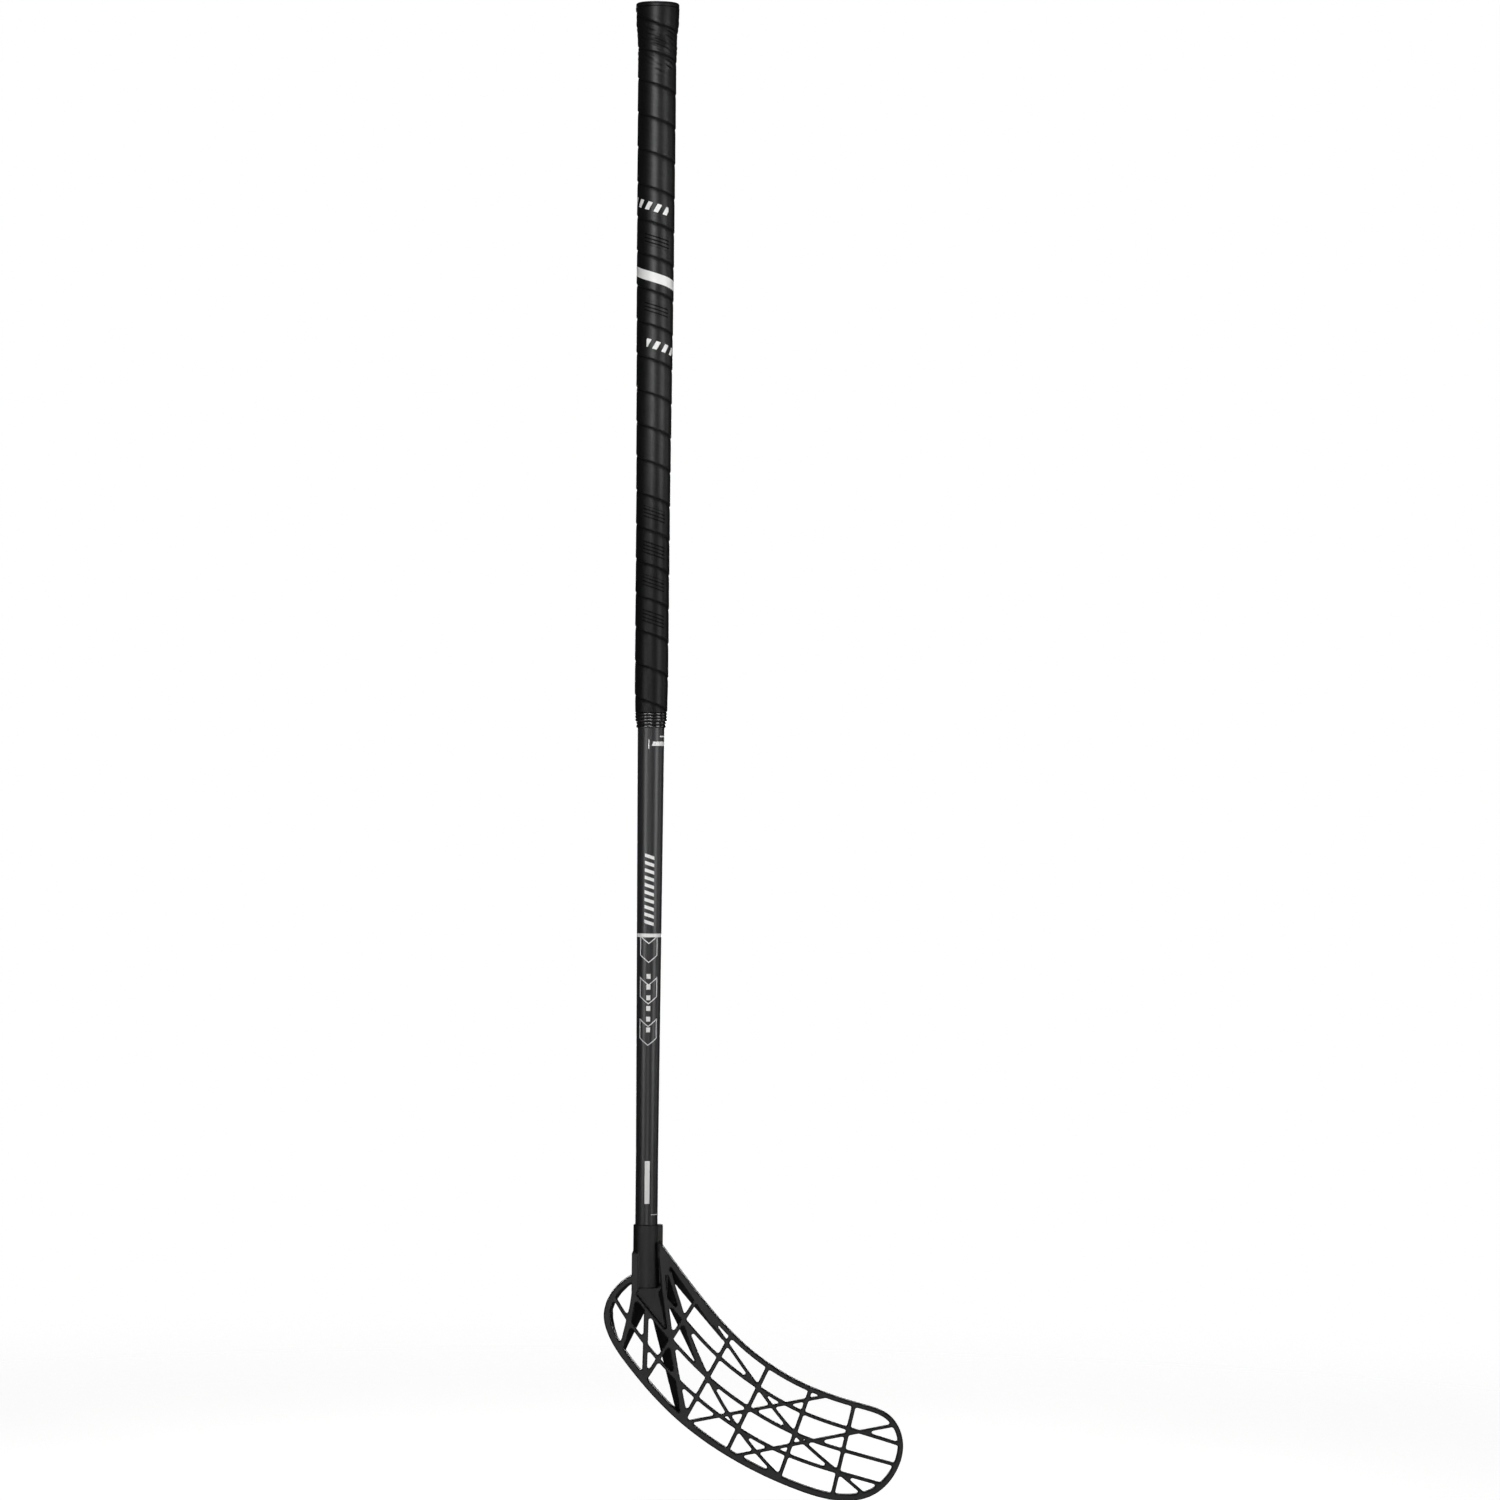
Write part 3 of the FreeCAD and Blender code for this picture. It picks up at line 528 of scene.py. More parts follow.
# %% [markdown]
# ## Finishes
# Every finish below is a Principled shader with patterns on Object coordinates, so that it stays on its
# piece when the piece moves. A few helpers are enough: one turns a hex colour, as a paint chart writes it,
# into linear light, one adds a node with its options, and one fills a node's inputs, which also serves the
# shader itself.

# %% Helpers for colours and nodes


def linear(hex_colour):
    """An sRGB hex colour as the linear colour that a socket takes."""
    channels = [int(hex_colour[place:place + 2], 16) / 255 for place in (1, 3, 5)]
    return [c / 12.92 if c <= 0.04045 else ((c + 0.055) / 1.055) ** 2.4 for c in channels] + [1]


def fill_inputs(tree, node, inputs):
    """Fills a node's inputs, by name or number, with values, sockets or nodes."""
    for key, value in inputs.items():
        if isinstance(key, str):
            socket = next(s for s in node.inputs if s.enabled and s.name == key)
        else:
            socket = node.inputs[key]
        if isinstance(value, bpy.types.Node):
            value = next(s for s in value.outputs if s.enabled)
        if isinstance(value, bpy.types.NodeSocket):
            tree.links.new(value, socket)
        else:
            socket.default_value = value


def add_node(tree, kind, inputs=None, **options):
    """Adds a node with its options and fills its inputs."""
    node = tree.nodes.new("ShaderNode" + kind)
    for option, value in options.items():
        setattr(node, option, value)
    fill_inputs(tree, node, inputs or {})
    return node


print("half of full sRGB is", round(linear("#808080")[0], 3), "in linear light")

# %% Helpers that start a finish and put it on


def new_finish(name):
    """An empty material: its node tree, its Principled shader and its Object coordinates."""
    finish = bpy.data.materials.new(name)
    finish.use_nodes = True
    tree = finish.node_tree
    coordinates = add_node(tree, "TexCoord")
    return finish, tree, tree.nodes["Principled BSDF"], coordinates.outputs["Object"]


def dress(piece, finish, body=None, node=None):
    """Gives a piece its finish, and lets a new piece ride on a body in place of a node."""
    piece.data.materials.clear()
    piece.data.materials.append(finish)
    if body:
        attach(piece, body)
        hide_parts(node)
    print(f"{piece.name} wears {finish.name}")


# %% [markdown]
# ## Places on a round piece
# Prints on the shaft and the grip follow the tube, so they are laid out as on its unrolled sheet: a drop
# from the butt, and a distance round the tube from the middle of its front. A UV map could hold the same,
# but both come straight from the Object coordinates, with the seam of the angle at the back, where a break
# shows least.

# %% Unrolling helper


def unrolled(tree, position):
    """Nodes for the drop, the angle from the front and the distance round the tube, in mm and radians."""
    split = add_node(tree, "SeparateXYZ", {0: position})
    drop = add_node(tree, "Math", {0: split.outputs["Z"], 1: -1 / MM}, operation="MULTIPLY")
    toward = add_node(tree, "Math", {0: split.outputs["Y"], 1: -1.0}, operation="MULTIPLY")
    angle = add_node(tree, "Math", {0: split.outputs["X"], 1: toward}, operation="ARCTAN2")
    flat = add_node(tree, "CombineXYZ", {"X": split.outputs["X"], "Y": split.outputs["Y"]})
    radius = add_node(tree, "VectorMath", {0: flat}, operation="LENGTH").outputs["Value"]
    arc_metres = add_node(tree, "Math", {0: angle, 1: radius}, operation="MULTIPLY")
    around = add_node(tree, "Math", {0: arc_metres, 1: 1 / MM}, operation="MULTIPLY")
    return drop, angle, around


# %% [markdown]
# ## Lacquered composite
# The shaft is a fibre composite under a satin clear lacquer: a dark grey body, a soft sheen from the
# lacquer and a faint grain of fibres along the tube. A woven pattern would be too coarse for this plain
# shaft, so the grain is noise stretched along the tube.

# %% Shaft finish: satin lacquered composite
# To the eye: dark grey, with a long soft highlight that the fibres break up a little
SHAFT_COLOUR = "#222224"
SHAFT_COLOUR_LIGHT = "#2a2a2c"
# Bundles of fibres, because single ones are too fine to show
FIBRE_WIDTH = 0.7
FIBRE_LENGTH = 24.0

composite, tree, shader, position = new_finish("satin_lacquered_composite")
drop, _, around = unrolled(tree, position)
fibre_across = add_node(tree, "Math", {0: around, 1: FIBRE_WIDTH}, operation="DIVIDE")
fibre_along = add_node(tree, "Math", {0: drop, 1: FIBRE_LENGTH}, operation="DIVIDE")
fibre_place = add_node(tree, "CombineXYZ", {"X": fibre_across, "Y": fibre_along})
fibre = add_node(tree, "TexNoise", {"Vector": fibre_place, "Scale": 1.0, "Detail": 3.0})
body_colour = add_node(
    tree, "Mix", {"Factor": fibre, "A": linear(SHAFT_COLOUR), "B": linear(SHAFT_COLOUR_LIGHT)},
    data_type="RGBA")
print("composite grain:", FIBRE_WIDTH, "mm wide")

# %% [markdown]
# ## Prints on the shaft
# Ink is screen-printed on the tube before the last coat of lacquer, so the prints have the lacquer's gloss
# and no height of their own. A picture would blur when one looks close. Here every mark is worked out on
# the unrolled sheet instead: a Compare node gives 1 between two drops or two distances round the tube, and
# products and maxima of such steps are bars, rungs, squares and chevrons with sharp edges at any size.

# %% Plain bars
# First and last drop, from where to where round the tube and how far the ends slant, in millimetres. The
# first bar reaches past the back on both sides, so it is a ring
PRINT_BARS = [
    (696.8, 699.6, -40.0, 40.0, 0.0),
    (553.2, 556.4, 1.4, 16.0, -1.1),
    (548.7, 549.9, 7.8, 16.0, 0.0),
    (551.6, 558.4, -1.7, -1.0, 0.0),
    (906.8, 907.5, 3.4, 10.5, 0.0),
]


def inside(low, high):
    """Inputs of a Compare node that gives 1 where its first input lies between two values."""
    return {1: (low + high) / 2, 2: (high - low) / 2}


ink = None
for low, high, left, right, slant in PRINT_BARS:
    in_height = add_node(tree, "Math", {0: drop, **inside(low, high)}, operation="COMPARE")
    end = add_node(
        tree, "MapRange",
        {"Value": drop, "From Min": low, "From Max": high, "To Min": slant / 2, "To Max": -slant / 2})
    straightened = add_node(tree, "Math", {0: around, 1: end}, operation="ADD")
    in_width = add_node(tree, "Math", {0: straightened, **inside(left, right)}, operation="COMPARE")
    bar = add_node(tree, "Math", {0: in_height, 1: in_width}, operation="MULTIPLY")
    ink = bar if ink is None else add_node(tree, "Math", {0: ink, 1: bar}, operation="MAXIMUM")
print("bars:", len(PRINT_BARS))

# %% A ladder of slanted bars
LADDER_START = 638.0
LADDER_END = 693.0
LADDER_PITCH = 5.5
LADDER_INK_SHARE = 0.46
LADDER_SLOPE = 0.33
LADDER_HALF_WIDTH = 3.6

slant = add_node(tree, "Math", {0: around, 1: LADDER_SLOPE}, operation="MULTIPLY")
slanted_drop = add_node(tree, "Math", {0: drop, 1: slant}, operation="SUBTRACT")
rung = add_node(tree, "Math", {0: slanted_drop, 1: LADDER_PITCH}, operation="MODULO")
in_rung = add_node(tree, "Math", {0: rung, 1: LADDER_PITCH * LADDER_INK_SHARE}, operation="LESS_THAN")
in_ladder = add_node(tree, "Math", {0: slanted_drop, **inside(LADDER_START, LADDER_END)}, operation="COMPARE")
in_column = add_node(
    tree, "Math", {0: around, **inside(-LADDER_HALF_WIDTH, LADDER_HALF_WIDTH)}, operation="COMPARE")
ladder = add_node(tree, "Math", {0: in_rung, 1: in_ladder}, operation="MULTIPLY")
ladder = add_node(tree, "Math", {0: ladder, 1: in_column}, operation="MULTIPLY")
ink = add_node(tree, "Math", {0: ink, 1: ladder}, operation="MAXIMUM")
print("ladder rungs:", int((LADDER_END - LADDER_START) / LADDER_PITCH))

# %% A row of small squares
DOTS_START = 727.0
DOTS_END = 771.0
DOT_PITCH = 8.0
DOT_HEIGHT = 3.6
DOT_HALF_WIDTH = 1.5

dot = add_node(tree, "Math", {0: drop, 1: DOTS_START}, operation="SUBTRACT")
dot = add_node(tree, "Math", {0: dot, 1: DOT_PITCH}, operation="FLOORED_MODULO")
dot = add_node(tree, "Math", {0: dot, 1: DOT_HEIGHT}, operation="LESS_THAN")
in_dots = add_node(tree, "Math", {0: drop, **inside(DOTS_START, DOTS_END)}, operation="COMPARE")
in_column = add_node(
    tree, "Math", {0: around, **inside(-DOT_HALF_WIDTH, DOT_HALF_WIDTH)}, operation="COMPARE")
dot = add_node(tree, "Math", {0: dot, 1: in_dots}, operation="MULTIPLY")
dot = add_node(tree, "Math", {0: dot, 1: in_column}, operation="MULTIPLY")
white_ink = add_node(tree, "Math", {0: ink, 1: dot}, operation="MAXIMUM")
print("squares:", int((DOTS_END - DOTS_START) / DOT_PITCH) + 1)

# %% Outlined chevrons
CHEVRON_START = 703.8
CHEVRON_END = 794.5
CHEVRON_PITCH = 31.0
CHEVRON_HEIGHT = 15.0
CHEVRON_SLOPE = 0.8
CHEVRON_HALF_WIDTH = 7.2
CHEVRON_LINE = 0.9

aside = add_node(tree, "Math", {0: around}, operation="ABSOLUTE")
fold = add_node(tree, "Math", {0: aside, 1: CHEVRON_SLOPE}, operation="MULTIPLY")
folded_drop = add_node(tree, "Math", {0: drop, 1: fold}, operation="ADD")
from_start = add_node(tree, "Math", {0: folded_drop, 1: CHEVRON_START}, operation="SUBTRACT")
place_in_chevron = add_node(tree, "Math", {0: from_start, 1: CHEVRON_PITCH}, operation="MODULO")
in_row = add_node(tree, "Math", {0: folded_drop, **inside(CHEVRON_START, CHEVRON_END)}, operation="COMPARE")
in_outer = add_node(tree, "Math", {0: aside, 1: CHEVRON_HALF_WIDTH}, operation="LESS_THAN")
in_height = add_node(tree, "Math", {0: place_in_chevron, 1: CHEVRON_HEIGHT}, operation="LESS_THAN")
in_inner = add_node(tree, "Math", {0: aside, 1: CHEVRON_HALF_WIDTH - CHEVRON_LINE}, operation="LESS_THAN")
between_lines = inside(CHEVRON_LINE, CHEVRON_HEIGHT - CHEVRON_LINE)
in_middle = add_node(tree, "Math", {0: place_in_chevron, **between_lines}, operation="COMPARE")
hollow = add_node(tree, "Math", {0: in_inner, 1: in_middle}, operation="MULTIPLY")
filled = add_node(tree, "Math", {0: in_outer, 1: in_height}, operation="MULTIPLY")
filled = add_node(tree, "Math", {0: filled, 1: in_row}, operation="MULTIPLY")
grey_ink = add_node(tree, "Math", {0: filled, 1: hollow}, operation="SUBTRACT", use_clamp=True)
print("chevrons:", int((CHEVRON_END - CHEVRON_START) / CHEVRON_PITCH) + 1)

# %% Ink and lacquer together
INK_WHITE = "#e9e9e7"
INK_GREY = "#dcdcdc"
LACQUER_ROUGHNESS = (0.34, 0.42)
LACQUER_IOR = 1.5
LACQUER_SHEEN = 0.36
FIBRE_RELIEF = 0.08
FIBRE_DEPTH = 0.05

with_grey = add_node(
    tree, "Mix", {"Factor": grey_ink, "A": body_colour, "B": linear(INK_GREY)}, data_type="RGBA")
with_white = add_node(
    tree, "Mix", {"Factor": white_ink, "A": with_grey, "B": linear(INK_WHITE)}, data_type="RGBA")
gloss = add_node(
    tree, "MapRange", {"Value": fibre, "To Min": LACQUER_ROUGHNESS[0], "To Max": LACQUER_ROUGHNESS[1]})
relief = add_node(tree, "Bump", {"Strength": FIBRE_RELIEF, "Distance": FIBRE_DEPTH * MM, "Height": fibre})
fill_inputs(tree, shader, {
    "Base Color": with_white, "Roughness": gloss, "Normal": relief, "IOR": LACQUER_IOR,
    "Specular IOR Level": LACQUER_SHEEN})
dress(shaft, composite, "shaft", "shaft_tube")

# %% [markdown]
# ## Polyurethane tape
# Grip tape is a soft, slightly tacky polyurethane skin on felt. It is nearly black, with a broad dull
# highlight and a fine leathery grain from the embossed release paper that it was cast on. A white band is
# printed along one turn, rows of slanted blocks on two others, and rows of lines are pressed into some
# more. All of them were made on the flat tape, so they follow its helix: the drop of the even winding, less
# the climb of the turn.

# %% Grip finish: the helix
# To the eye: soft black with a broad sheen that is broken by seams, grain and creases
tape, tree, shader, position = new_finish("cast_polyurethane_tape")
drop, angle, around = unrolled(tree, position)
moved = add_node(tree, "Attribute", attribute_name="moved").outputs["Fac"]
even_drop = add_node(tree, "Math", {0: drop, 1: moved}, operation="SUBTRACT")
climb = add_node(tree, "Math", {0: angle, 1: TAPE_PITCH / math.tau}, operation="MULTIPLY")
unwound = add_node(tree, "Math", {0: even_drop, 1: climb}, operation="SUBTRACT")
from_seam = add_node(tree, "Math", {0: unwound, 1: SEAM_DROP}, operation="SUBTRACT")
in_turn = add_node(tree, "Math", {0: from_seam, 1: TAPE_PITCH}, operation="FLOORED_MODULO")


def on_turn(turn, across):
    """Inputs of a Compare node that gives 1 on one turn of the tape, between two places across it."""
    seam = SEAM_DROP + turn * TAPE_PITCH
    return inside(seam + across[0], seam + across[1])


print(f"the tape climbs {TAPE_PITCH / math.tau:.2f} mm per radian")

# %% Printed band and blocks
BAND_TURN = 7
BAND_ACROSS = (11.5, 18.9)
# Rows of slanted blocks in the same ink: the turn, and from where to where round the grip in radians
BLOCK_ROWS = [(5, -1.5, 0.75), (9, -0.45, 1.5)]
BLOCK_ACROSS = (10.8, 17.4)
BLOCK_PITCH = 7.0
BLOCK_WIDTH = 3.4
BLOCK_SLANT = 0.5

band = add_node(tree, "Math", {0: unwound, **on_turn(BAND_TURN, BAND_ACROSS)}, operation="COMPARE")
lean = add_node(tree, "Math", {0: in_turn, 1: BLOCK_SLANT, 2: around}, operation="MULTIPLY_ADD")
block = add_node(tree, "Math", {0: lean, 1: BLOCK_PITCH}, operation="FLOORED_MODULO")
block = add_node(tree, "Math", {0: block, 1: BLOCK_WIDTH}, operation="LESS_THAN")
for turn, left, right in BLOCK_ROWS:
    row = add_node(tree, "Math", {0: unwound, **on_turn(turn, BLOCK_ACROSS)}, operation="COMPARE")
    width = add_node(tree, "Math", {0: angle, **inside(left, right)}, operation="COMPARE")
    row = add_node(tree, "Math", {0: row, 1: width}, operation="MULTIPLY")
    row = add_node(tree, "Math", {0: row, 1: block}, operation="MULTIPLY")
    band = add_node(tree, "Math", {0: band, 1: row}, operation="MAXIMUM")
print("band on turn", BAND_TURN, "and block rows:", len(BLOCK_ROWS))

# %% Colour of the tape
TAPE_COLOUR = "#0c0c0d"
TAPE_COLOUR_LIGHT = "#131313"
BAND_COLOUR = "#eaeae8"
CLOUD_SIZE = 18.0

cloud = add_node(tree, "TexNoise", {"Vector": position, "Scale": 1 / (CLOUD_SIZE * MM), "Detail": 4.0})
tape_colour = add_node(
    tree, "Mix", {"Factor": cloud, "A": linear(TAPE_COLOUR), "B": linear(TAPE_COLOUR_LIGHT)},
    data_type="RGBA")
with_band = add_node(
    tree, "Mix", {"Factor": band, "A": tape_colour, "B": linear(BAND_COLOUR)}, data_type="RGBA")
print("tape colour", TAPE_COLOUR)

# %% Pressed lines and grain
# The real lines are half as wide and as close, and are drawn coarser here so that they show. Angles are
# radians from the front
PRESSED_TURNS = [6, 8, 14, 15, 16, 17]
PRESSED_ACROSS = (8.0, 18.0)
PRESSED_ANGLES = (-0.6, 0.8)
PRESSED_PITCH = 2.7
PRESSED_WIDTH = 1.0
PRESSED_DEPTH = 0.25
# The real grain is finer too, and much shallower than the lines
GRAIN_SIZE = 0.9
GRAIN_SHARE = 0.12
TAPE_RELIEF = 0.5

pressed = None
for turn in PRESSED_TURNS:
    row = add_node(tree, "Math", {0: unwound, **on_turn(turn, PRESSED_ACROSS)}, operation="COMPARE")
    pressed = row if pressed is None else add_node(tree, "Math", {0: pressed, 1: row}, operation="MAXIMUM")
line = add_node(tree, "Math", {0: unwound, 1: PRESSED_PITCH}, operation="MODULO")
line = add_node(tree, "Math", {0: line, 1: PRESSED_WIDTH}, operation="LESS_THAN")
front = add_node(tree, "Math", {0: angle, **inside(*PRESSED_ANGLES)}, operation="COMPARE")
pressed = add_node(tree, "Math", {0: pressed, 1: line}, operation="MULTIPLY")
pressed = add_node(tree, "Math", {0: pressed, 1: front}, operation="MULTIPLY")
grain = add_node(tree, "TexVoronoi", {"Vector": position, "Scale": 1 / (GRAIN_SIZE * MM)})
height = add_node(tree, "Math", {0: grain.outputs["Distance"], 1: GRAIN_SHARE}, operation="MULTIPLY")
height = add_node(tree, "Math", {0: height, 1: pressed}, operation="SUBTRACT")
relief = add_node(tree, "Bump", {"Strength": TAPE_RELIEF, "Distance": PRESSED_DEPTH * MM, "Height": height})
print("pressed rows:", len(PRESSED_TURNS))

# %% [markdown]
# ## Sheen of the tape
# A grip isn't equally shiny all over. Its upper half shines most, the seams, the pressed lines and the
# stretched turns over the flare are duller, and faint streaks run along the winding. Roughness alone would
# only widen the highlight, so these shares dim the specular level, one after the other.

# %% Where the sheen is weaker
SEAM_WIDTH = 2.0
SHEEN_SEAM_SHARE = 0.1
SHEEN_PRESSED_SHARE = 0.1
# The sheen of the upper grip fades to that of the lower between these two drops
SHEEN_FADE = (290.0, 420.0)
SHEEN_UPPER = 0.34
SHEEN_LOWER = 0.155
# The dull stretch over the flare ends between these two drops
SHEEN_FLARE = (28.0, 42.0)
SHEEN_FLARE_SHARE = 0.7

out_of_seam = add_node(
    tree, "MapRange", {"Value": in_turn, "From Max": SEAM_WIDTH, "To Min": SHEEN_SEAM_SHARE, "To Max": 1.0})
sheen = add_node(
    tree, "MapRange",
    {"Value": drop, "From Min": SHEEN_FADE[0], "From Max": SHEEN_FADE[1],
     "To Min": SHEEN_UPPER, "To Max": SHEEN_LOWER}, interpolation_type="SMOOTHSTEP")
past_flare = add_node(
    tree, "MapRange",
    {"Value": drop, "From Min": SHEEN_FLARE[0], "From Max": SHEEN_FLARE[1],
     "To Min": SHEEN_FLARE_SHARE, "To Max": 1.0})
not_pressed = add_node(tree, "MapRange", {"Value": pressed, "To Min": 1.0, "To Max": SHEEN_PRESSED_SHARE})
print("sheen from", SHEEN_UPPER, "to", SHEEN_LOWER)

# %% Streaks, and the whole finish
STREAK_LENGTH = 9.0
STREAK_WIDTH = 1.6
STREAK_SHARES = (0.7, 1.25)
TAPE_ROUGHNESS = (0.38, 0.48)
TAPE_IOR = 1.48

streak_along = add_node(tree, "Math", {0: around, 1: STREAK_LENGTH}, operation="DIVIDE")
streak_across = add_node(tree, "Math", {0: unwound, 1: STREAK_WIDTH}, operation="DIVIDE")
streak_place = add_node(tree, "CombineXYZ", {"X": streak_along, "Y": streak_across})
streak = add_node(tree, "TexNoise", {"Vector": streak_place, "Scale": 1.0, "Detail": 2.0})
streaked = add_node(
    tree, "MapRange", {"Value": streak, "To Min": STREAK_SHARES[0], "To Max": STREAK_SHARES[1]})
for share in (out_of_seam, past_flare, not_pressed, streaked):
    sheen = add_node(tree, "Math", {0: sheen, 1: share}, operation="MULTIPLY")
gloss = add_node(tree, "MapRange", {"Value": cloud, "To Min": TAPE_ROUGHNESS[0], "To Max": TAPE_ROUGHNESS[1]})
fill_inputs(tree, shader, {
    "Base Color": with_band, "Roughness": gloss, "Normal": relief, "IOR": TAPE_IOR,
    "Specular IOR Level": sheen})
dress(grip, tape, "shaft", "grip_tape")

# %% [markdown]
# ## Rubber
# Cap and collar are moulded rubber. The collar comes from a polished mould and is glossy, so its ridges
# mirror the lamps as bright bars. The cap comes from an etched one and is duller. Both are the same
# compound, so one loop makes the two, with the mould's polish as the difference.

# %% Rubber finishes
# To the eye: black, with bright narrow bars on the collar and a dull soft edge on the cap
RUBBER_COLOUR = "#0c0c0c"
RUBBER_COLOUR_LIGHT = "#141414"
RUBBER_IOR = 1.52
GRAIN_DEPTH = 0.1
# Finish, piece, slot, body and node, the least and most roughness, the specular level, and the size and
# strength of the grain. The etched grain is really finer, and is drawn as coarse as it needs to show
RUBBERS = [
    ("moulded_rubber_etched", end_cap, "cap_rubber", "shaft", "end_cap", (0.4, 0.5), 0.2, 0.7, 0.3),
    ("moulded_rubber_polished", collar, "collar_rubber", "collar", "grip_collar",
     (0.18, 0.24), 0.9, 3.0, 0.01),
]

for name, piece, slot, body, node, (polish, dull), sheen, grain_size, grain_strength in RUBBERS:
    rubber, tree, shader, position = new_finish(name)
    grain = add_node(tree, "TexNoise", {"Vector": position, "Scale": 1 / (grain_size * MM), "Detail": 2.0})
    colour = add_node(
        tree, "Mix", {"Factor": grain, "A": linear(RUBBER_COLOUR), "B": linear(RUBBER_COLOUR_LIGHT)},
        data_type="RGBA")
    gloss = add_node(tree, "MapRange", {"Value": grain, "To Min": polish, "To Max": dull})
    relief = add_node(
        tree, "Bump", {"Strength": grain_strength, "Distance": GRAIN_DEPTH * MM, "Height": grain})
    fill_inputs(tree, shader, {
        "Base Color": colour, "Roughness": gloss, "Normal": relief, "IOR": RUBBER_IOR,
        "Specular IOR Level": sheen})
    dress(piece, rubber, body, node)

# %% [markdown]
# ## Blade plastic
# The blade is polyethylene, coloured in the mass and moulded with a fine spark-eroded texture, so it is an
# even black that is neither shiny nor dead matt. Slow noise stands for the flow of the melt and fine noise
# for the texture.

# %% Blade finish: moulded polyethylene
# To the eye: black that turns an even dark grey wherever it faces a lamp
PLASTIC_COLOUR = "#050505"
PLASTIC_COLOUR_LIGHT = "#090909"
PLASTIC_ROUGHNESS = (0.5, 0.6)
PLASTIC_IOR = 1.51
FLOW_SIZE = 14.0
# A spark-eroded mould has finer grain, which is drawn as coarse as it needs to show
SPARK_SIZE = 0.6
SPARK_DEPTH = 0.08
SPARK_RELIEF = 0.25

plastic, tree, shader, position = new_finish("moulded_polyethylene")
flow = add_node(tree, "TexNoise", {"Vector": position, "Scale": 1 / (FLOW_SIZE * MM), "Detail": 3.0})
spark = add_node(tree, "TexNoise", {"Vector": position, "Scale": 1 / (SPARK_SIZE * MM), "Detail": 2.0})
colour = add_node(
    tree, "Mix", {"Factor": flow, "A": linear(PLASTIC_COLOUR), "B": linear(PLASTIC_COLOUR_LIGHT)},
    data_type="RGBA")
gloss = add_node(
    tree, "MapRange", {"Value": flow, "To Min": PLASTIC_ROUGHNESS[0], "To Max": PLASTIC_ROUGHNESS[1]})
relief = add_node(tree, "Bump", {"Strength": SPARK_RELIEF, "Distance": SPARK_DEPTH * MM, "Height": spark})
fill_inputs(tree, shader, {"Base Color": colour, "Roughness": gloss, "Normal": relief, "IOR": PLASTIC_IOR})
dress(blade, plastic, "blade", "blade")

# %% [markdown]
# ## Screw and sticker
# The screw is zinc-plated steel, a bright metal with a slightly cloudy plating. The sticker is a plain
# white film: its CAD node has the right shape, so it stays, and only gets a finish with the faint mottle of
# printed film.

# %% Screw finish: zinc-plated steel
# To the eye: a bright grey metal whose mirror is clouded in small patches
ZINC_COLOUR = "#b9bcbf"
ZINC_COLOUR_DARK = "#989b9f"
ZINC_ROUGHNESS = (0.22, 0.38)
ZINC_CLOUD_SIZE = 1.5

zinc, tree, shader, position = new_finish("zinc_plated_steel")
cloud = add_node(tree, "TexNoise", {"Vector": position, "Scale": 1 / (ZINC_CLOUD_SIZE * MM), "Detail": 3.0})
colour = add_node(
    tree, "Mix", {"Factor": cloud, "A": linear(ZINC_COLOUR_DARK), "B": linear(ZINC_COLOUR)}, data_type="RGBA")
gloss = add_node(tree, "MapRange", {"Value": cloud, "To Min": ZINC_ROUGHNESS[0], "To Max": ZINC_ROUGHNESS[1]})
fill_inputs(tree, shader, {"Base Color": colour, "Roughness": gloss, "Metallic": 1.0})
dress(screw, zinc, "screw", "blade_screw")

# %% Sticker finish: printed film
# To the eye: white, smooth and a little uneven, as ink on film is
FILM_COLOUR = "#fbfbf9"
FILM_COLOUR_DARK = "#eeeeec"
FILM_ROUGHNESS = (0.35, 0.45)
MOTTLE_SIZE = 3.0

film, tree, shader, position = new_finish("white_label_film")
mottle = add_node(tree, "TexNoise", {"Vector": position, "Scale": 1 / (MOTTLE_SIZE * MM), "Detail": 2.0})
colour = add_node(
    tree, "Mix", {"Factor": mottle, "A": linear(FILM_COLOUR_DARK), "B": linear(FILM_COLOUR)},
    data_type="RGBA")
gloss = add_node(
    tree, "MapRange", {"Value": mottle, "To Min": FILM_ROUGHNESS[0], "To Max": FILM_ROUGHNESS[1]})
fill_inputs(tree, shader, {"Base Color": colour, "Roughness": gloss})
dress(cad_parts["shaft_sticker"], film)

# %% [markdown]
# ## Camera
# The photograph was taken square to the front from far away with a long lens: the cap's rim is hardly
# curved. The stick leans by half a degree in it, and a turn of the camera about its own line of sight gives
# the same lean without moving the model.

# %% Camera
# Width, centre and distance of the view are in metres
VIEW_WIDTH = 1.1240
VIEW_CENTRE = Vector((0.0743, 0, -0.5588))
VIEW_DISTANCE = 4.4
VIEW_LEAN = math.radians(0.537)
SENSOR = 36.0

bpy.ops.object.select_all(action="DESELECT")
bpy.ops.object.camera_add(
    location=VIEW_CENTRE - Vector((0, VIEW_DISTANCE, 0)), rotation=(math.pi / 2, -VIEW_LEAN, 0))
camera = bpy.context.active_object
camera.data.sensor_width = SENSOR
camera.data.lens = SENSOR * VIEW_DISTANCE / VIEW_WIDTH
bpy.context.scene.camera = camera
print(f"lens {camera.data.lens:.0f} mm")

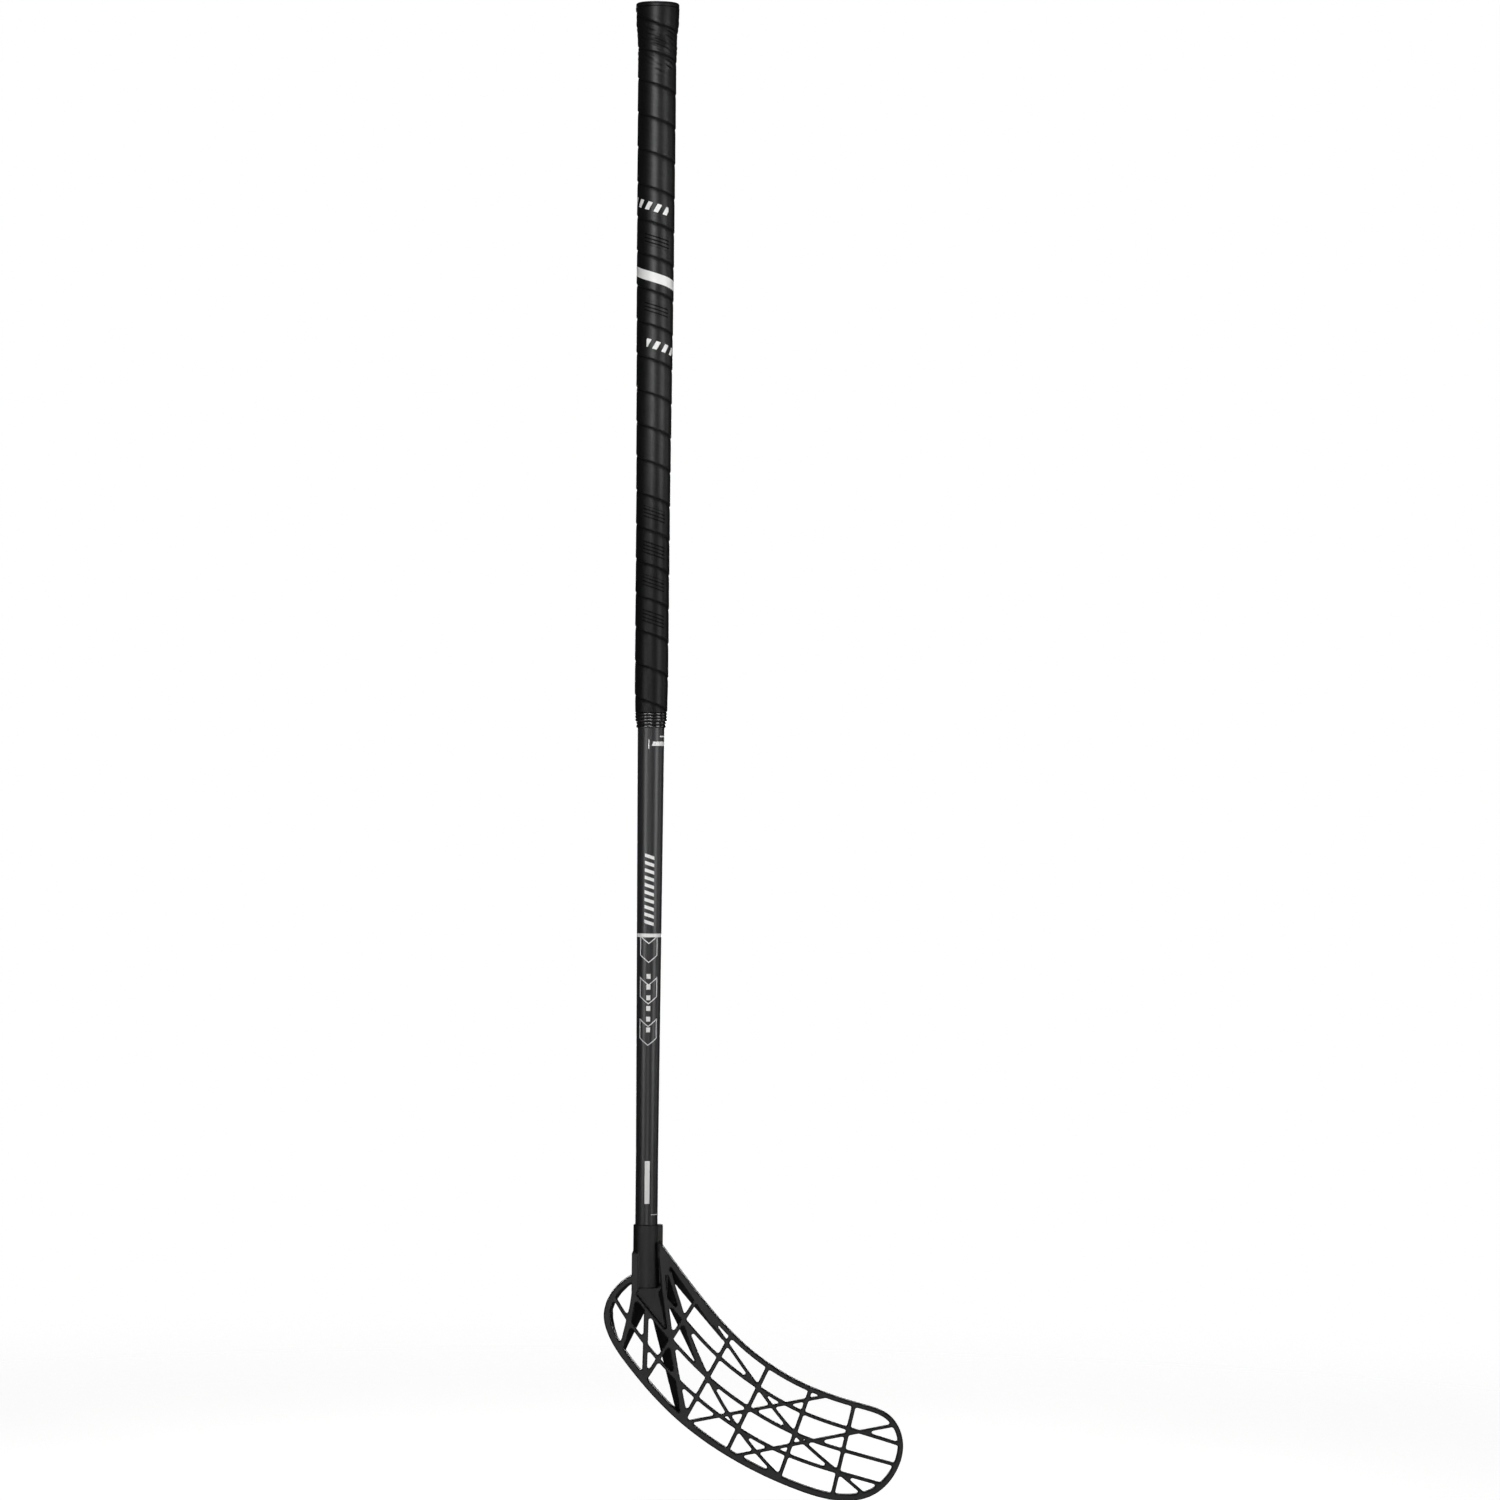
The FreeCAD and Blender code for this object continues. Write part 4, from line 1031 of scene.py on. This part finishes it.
# %% [markdown]
# ## Light
# Black things are lit by what they mirror, so every lamp is placed for the highlight that it gives. The
# upper box stands near the camera's line and lights the grip. The lower box to its left and the side box to
# its right give the shaft two long highlights with a dark line between them, and the rim box draws a thin
# light down its right edge. The front box stands low and lights the flat blade. The back and top boxes do
# next to nothing for this camera and keep those sides from being black in other views. Glowing planes would
# do too, but an area lamp has a spread, which aims it at one stretch of the stick as the grid on a real
# soft box does.

# %% Soft boxes
# Turn from the camera's line and rise in degrees, distance, width, height and the height it is aimed at in
# metres, spread of its grid in degrees and power in watts
SOFT_BOXES = [
    ("upper_soft_box", -10.0, 0.0, 1.6, 0.60, 0.75, 0.05, 60.0, 2.8),
    ("lower_soft_box", -41.0, 0.0, 1.6, 0.80, 0.45, -0.66, 30.0, 0.53),
    ("side_soft_box", 55.0, 0.0, 1.6, 0.80, 1.00, -0.42, 34.0, 1.12),
    ("rim_soft_box", 98.0, 0.0, 1.6, 0.50, 1.00, -0.48, 34.0, 0.14),
    ("front_soft_box", 3.0, 0.0, 2.2, 0.50, 0.40, -1.30, 60.0, 1.35),
    ("back_soft_box", 180.0, 0.0, 3.0, 1.00, 1.40, -0.60, 42.0, 3.0),
    ("top_soft_box", 180.0, 70.0, 1.6, 0.60, 0.60, -0.10, 50.0, 1.2),
]

for name, azimuth, rise, distance, width, height, middle, spread, power in SOFT_BOXES:
    turn, lift = math.radians(azimuth), math.radians(rise)
    away = Vector((math.cos(lift) * math.sin(turn), -math.cos(lift) * math.cos(turn), math.sin(lift)))
    place = Vector((0, 0, middle)) + distance * away
    bpy.ops.object.light_add(type="AREA", location=place, rotation=(math.pi / 2 - lift, 0, turn))
    box = bpy.context.active_object
    box.name = name
    box.data.shape = "RECTANGLE"
    box.data.size, box.data.size_y = width, height
    box.data.spread = math.radians(spread)
    box.data.energy = power
    box.visible_camera = False
    print(name, "at", [round(value, 2) for value in place])

# %% [markdown]
# ## World
# In the studio there is white paper behind the stick, a pale floor under it and a dim room in front. A
# world that is white for every ray would mirror in all the black surfaces and wash them out, so the
# strength depends on the ray: the camera sees plain white, a mirrored ray sees a trace of the paper when it
# goes back and a grey floor when it goes steeply down, and the rest is a weak fill.

# %% World
PAPER_COLOUR = "#ffffff"
FILL = 0.012
PAPER_MIRRORED = 0.015
FLOOR_MIRRORED = 0.4
# How far back or down a ray points where the paper or the floor comes in, and where it is there in full
PAPER_FADE = (0.0, 0.5)
FLOOR_FADE = (-0.55, -0.85)

world = bpy.data.worlds.new("studio")
bpy.context.scene.world = world
world.use_nodes = True
tree = world.node_tree
rays = add_node(tree, "LightPath")
direction = add_node(tree, "SeparateXYZ", {0: add_node(tree, "TexCoord").outputs["Generated"]})
behind = add_node(
    tree, "MapRange", {"Value": direction.outputs["Y"], "From Min": PAPER_FADE[0], "From Max": PAPER_FADE[1]},
    interpolation_type="SMOOTHSTEP")
below = add_node(
    tree, "MapRange",
    {"Value": direction.outputs["Z"], "From Min": FLOOR_FADE[0], "From Max": FLOOR_FADE[1],
     "To Max": FLOOR_MIRRORED}, interpolation_type="SMOOTHSTEP")
around_stick = add_node(tree, "Math", {0: behind, 1: PAPER_MIRRORED, 2: below}, operation="MULTIPLY_ADD")
mirrored = add_node(
    tree, "Math", {0: rays.outputs["Is Glossy Ray"], 1: rays.outputs["Is Transmission Ray"]},
    operation="MAXIMUM")
mirrored = add_node(tree, "Math", {0: mirrored, 1: around_stick}, operation="MULTIPLY")
seen = add_node(tree, "Math", {0: mirrored, 1: rays.outputs["Is Camera Ray"]}, operation="MAXIMUM")
level = add_node(tree, "MapRange", {"Value": seen, "To Min": FILL, "To Max": 1.0})
fill_inputs(tree, tree.nodes["Background"], {"Color": linear(PAPER_COLOUR), "Strength": level})
print("fill light", FILL)

# %% [markdown]
# ## Floor
# The floor is a pale sheet under the blade. It is near white by itself for the camera and keeps the stick's
# soft shadow. A large plane would cut the view with a horizon, so this one is a disc that thins out away
# from the stick, and no edge shows.

# %% Floor
# The disc, and where it starts and ends to thin out, in metres, and its gap in millimetres
FLOOR_RADIUS = 3.0
FLOOR_SIDES = 96
FLOOR_CLEAR = 0.3
FLOOR_FADE_END = 1.5
FLOOR_GAP = 0.2
FLOOR_GLOW = 0.88
FLOOR_COLOUR = "#f2f2f0"
FLOOR_ROUGHNESS = 0.9

bpy.ops.object.select_all(action="DESELECT")
bpy.ops.mesh.primitive_circle_add(
    vertices=FLOOR_SIDES, radius=FLOOR_RADIUS, fill_type="NGON",
    location=(0, 0, cad_box[0].z - FLOOR_GAP * MM))
floor = bpy.context.active_object
floor.name = "floor"
paper, tree, shader, position = new_finish("pale_paper")
seen = add_node(tree, "LightPath").outputs["Is Camera Ray"]
distance = add_node(tree, "VectorMath", {0: position}, operation="LENGTH").outputs["Value"]
fade = add_node(
    tree, "MapRange",
    {"Value": distance, "From Min": FLOOR_CLEAR, "From Max": FLOOR_FADE_END, "To Min": 1.0, "To Max": 0.0},
    interpolation_type="SMOOTHSTEP")
cover = add_node(tree, "Math", {0: fade, 1: seen}, operation="MULTIPLY")
fill_inputs(tree, shader, {
    "Base Color": linear(FLOOR_COLOUR), "Roughness": FLOOR_ROUGHNESS, "Specular IOR Level": 0.0,
    "Emission Color": linear(PAPER_COLOUR), "Emission Strength": FLOOR_GLOW, "Alpha": cover})
floor.data.materials.append(paper)
print("floor at", round(floor.location.z, 4))

# %% [markdown]
# ## Finish
# The view transform is Standard, so that a colour comes out as it was written.

# %% Finish
bpy.context.scene.view_settings.view_transform = "Standard"
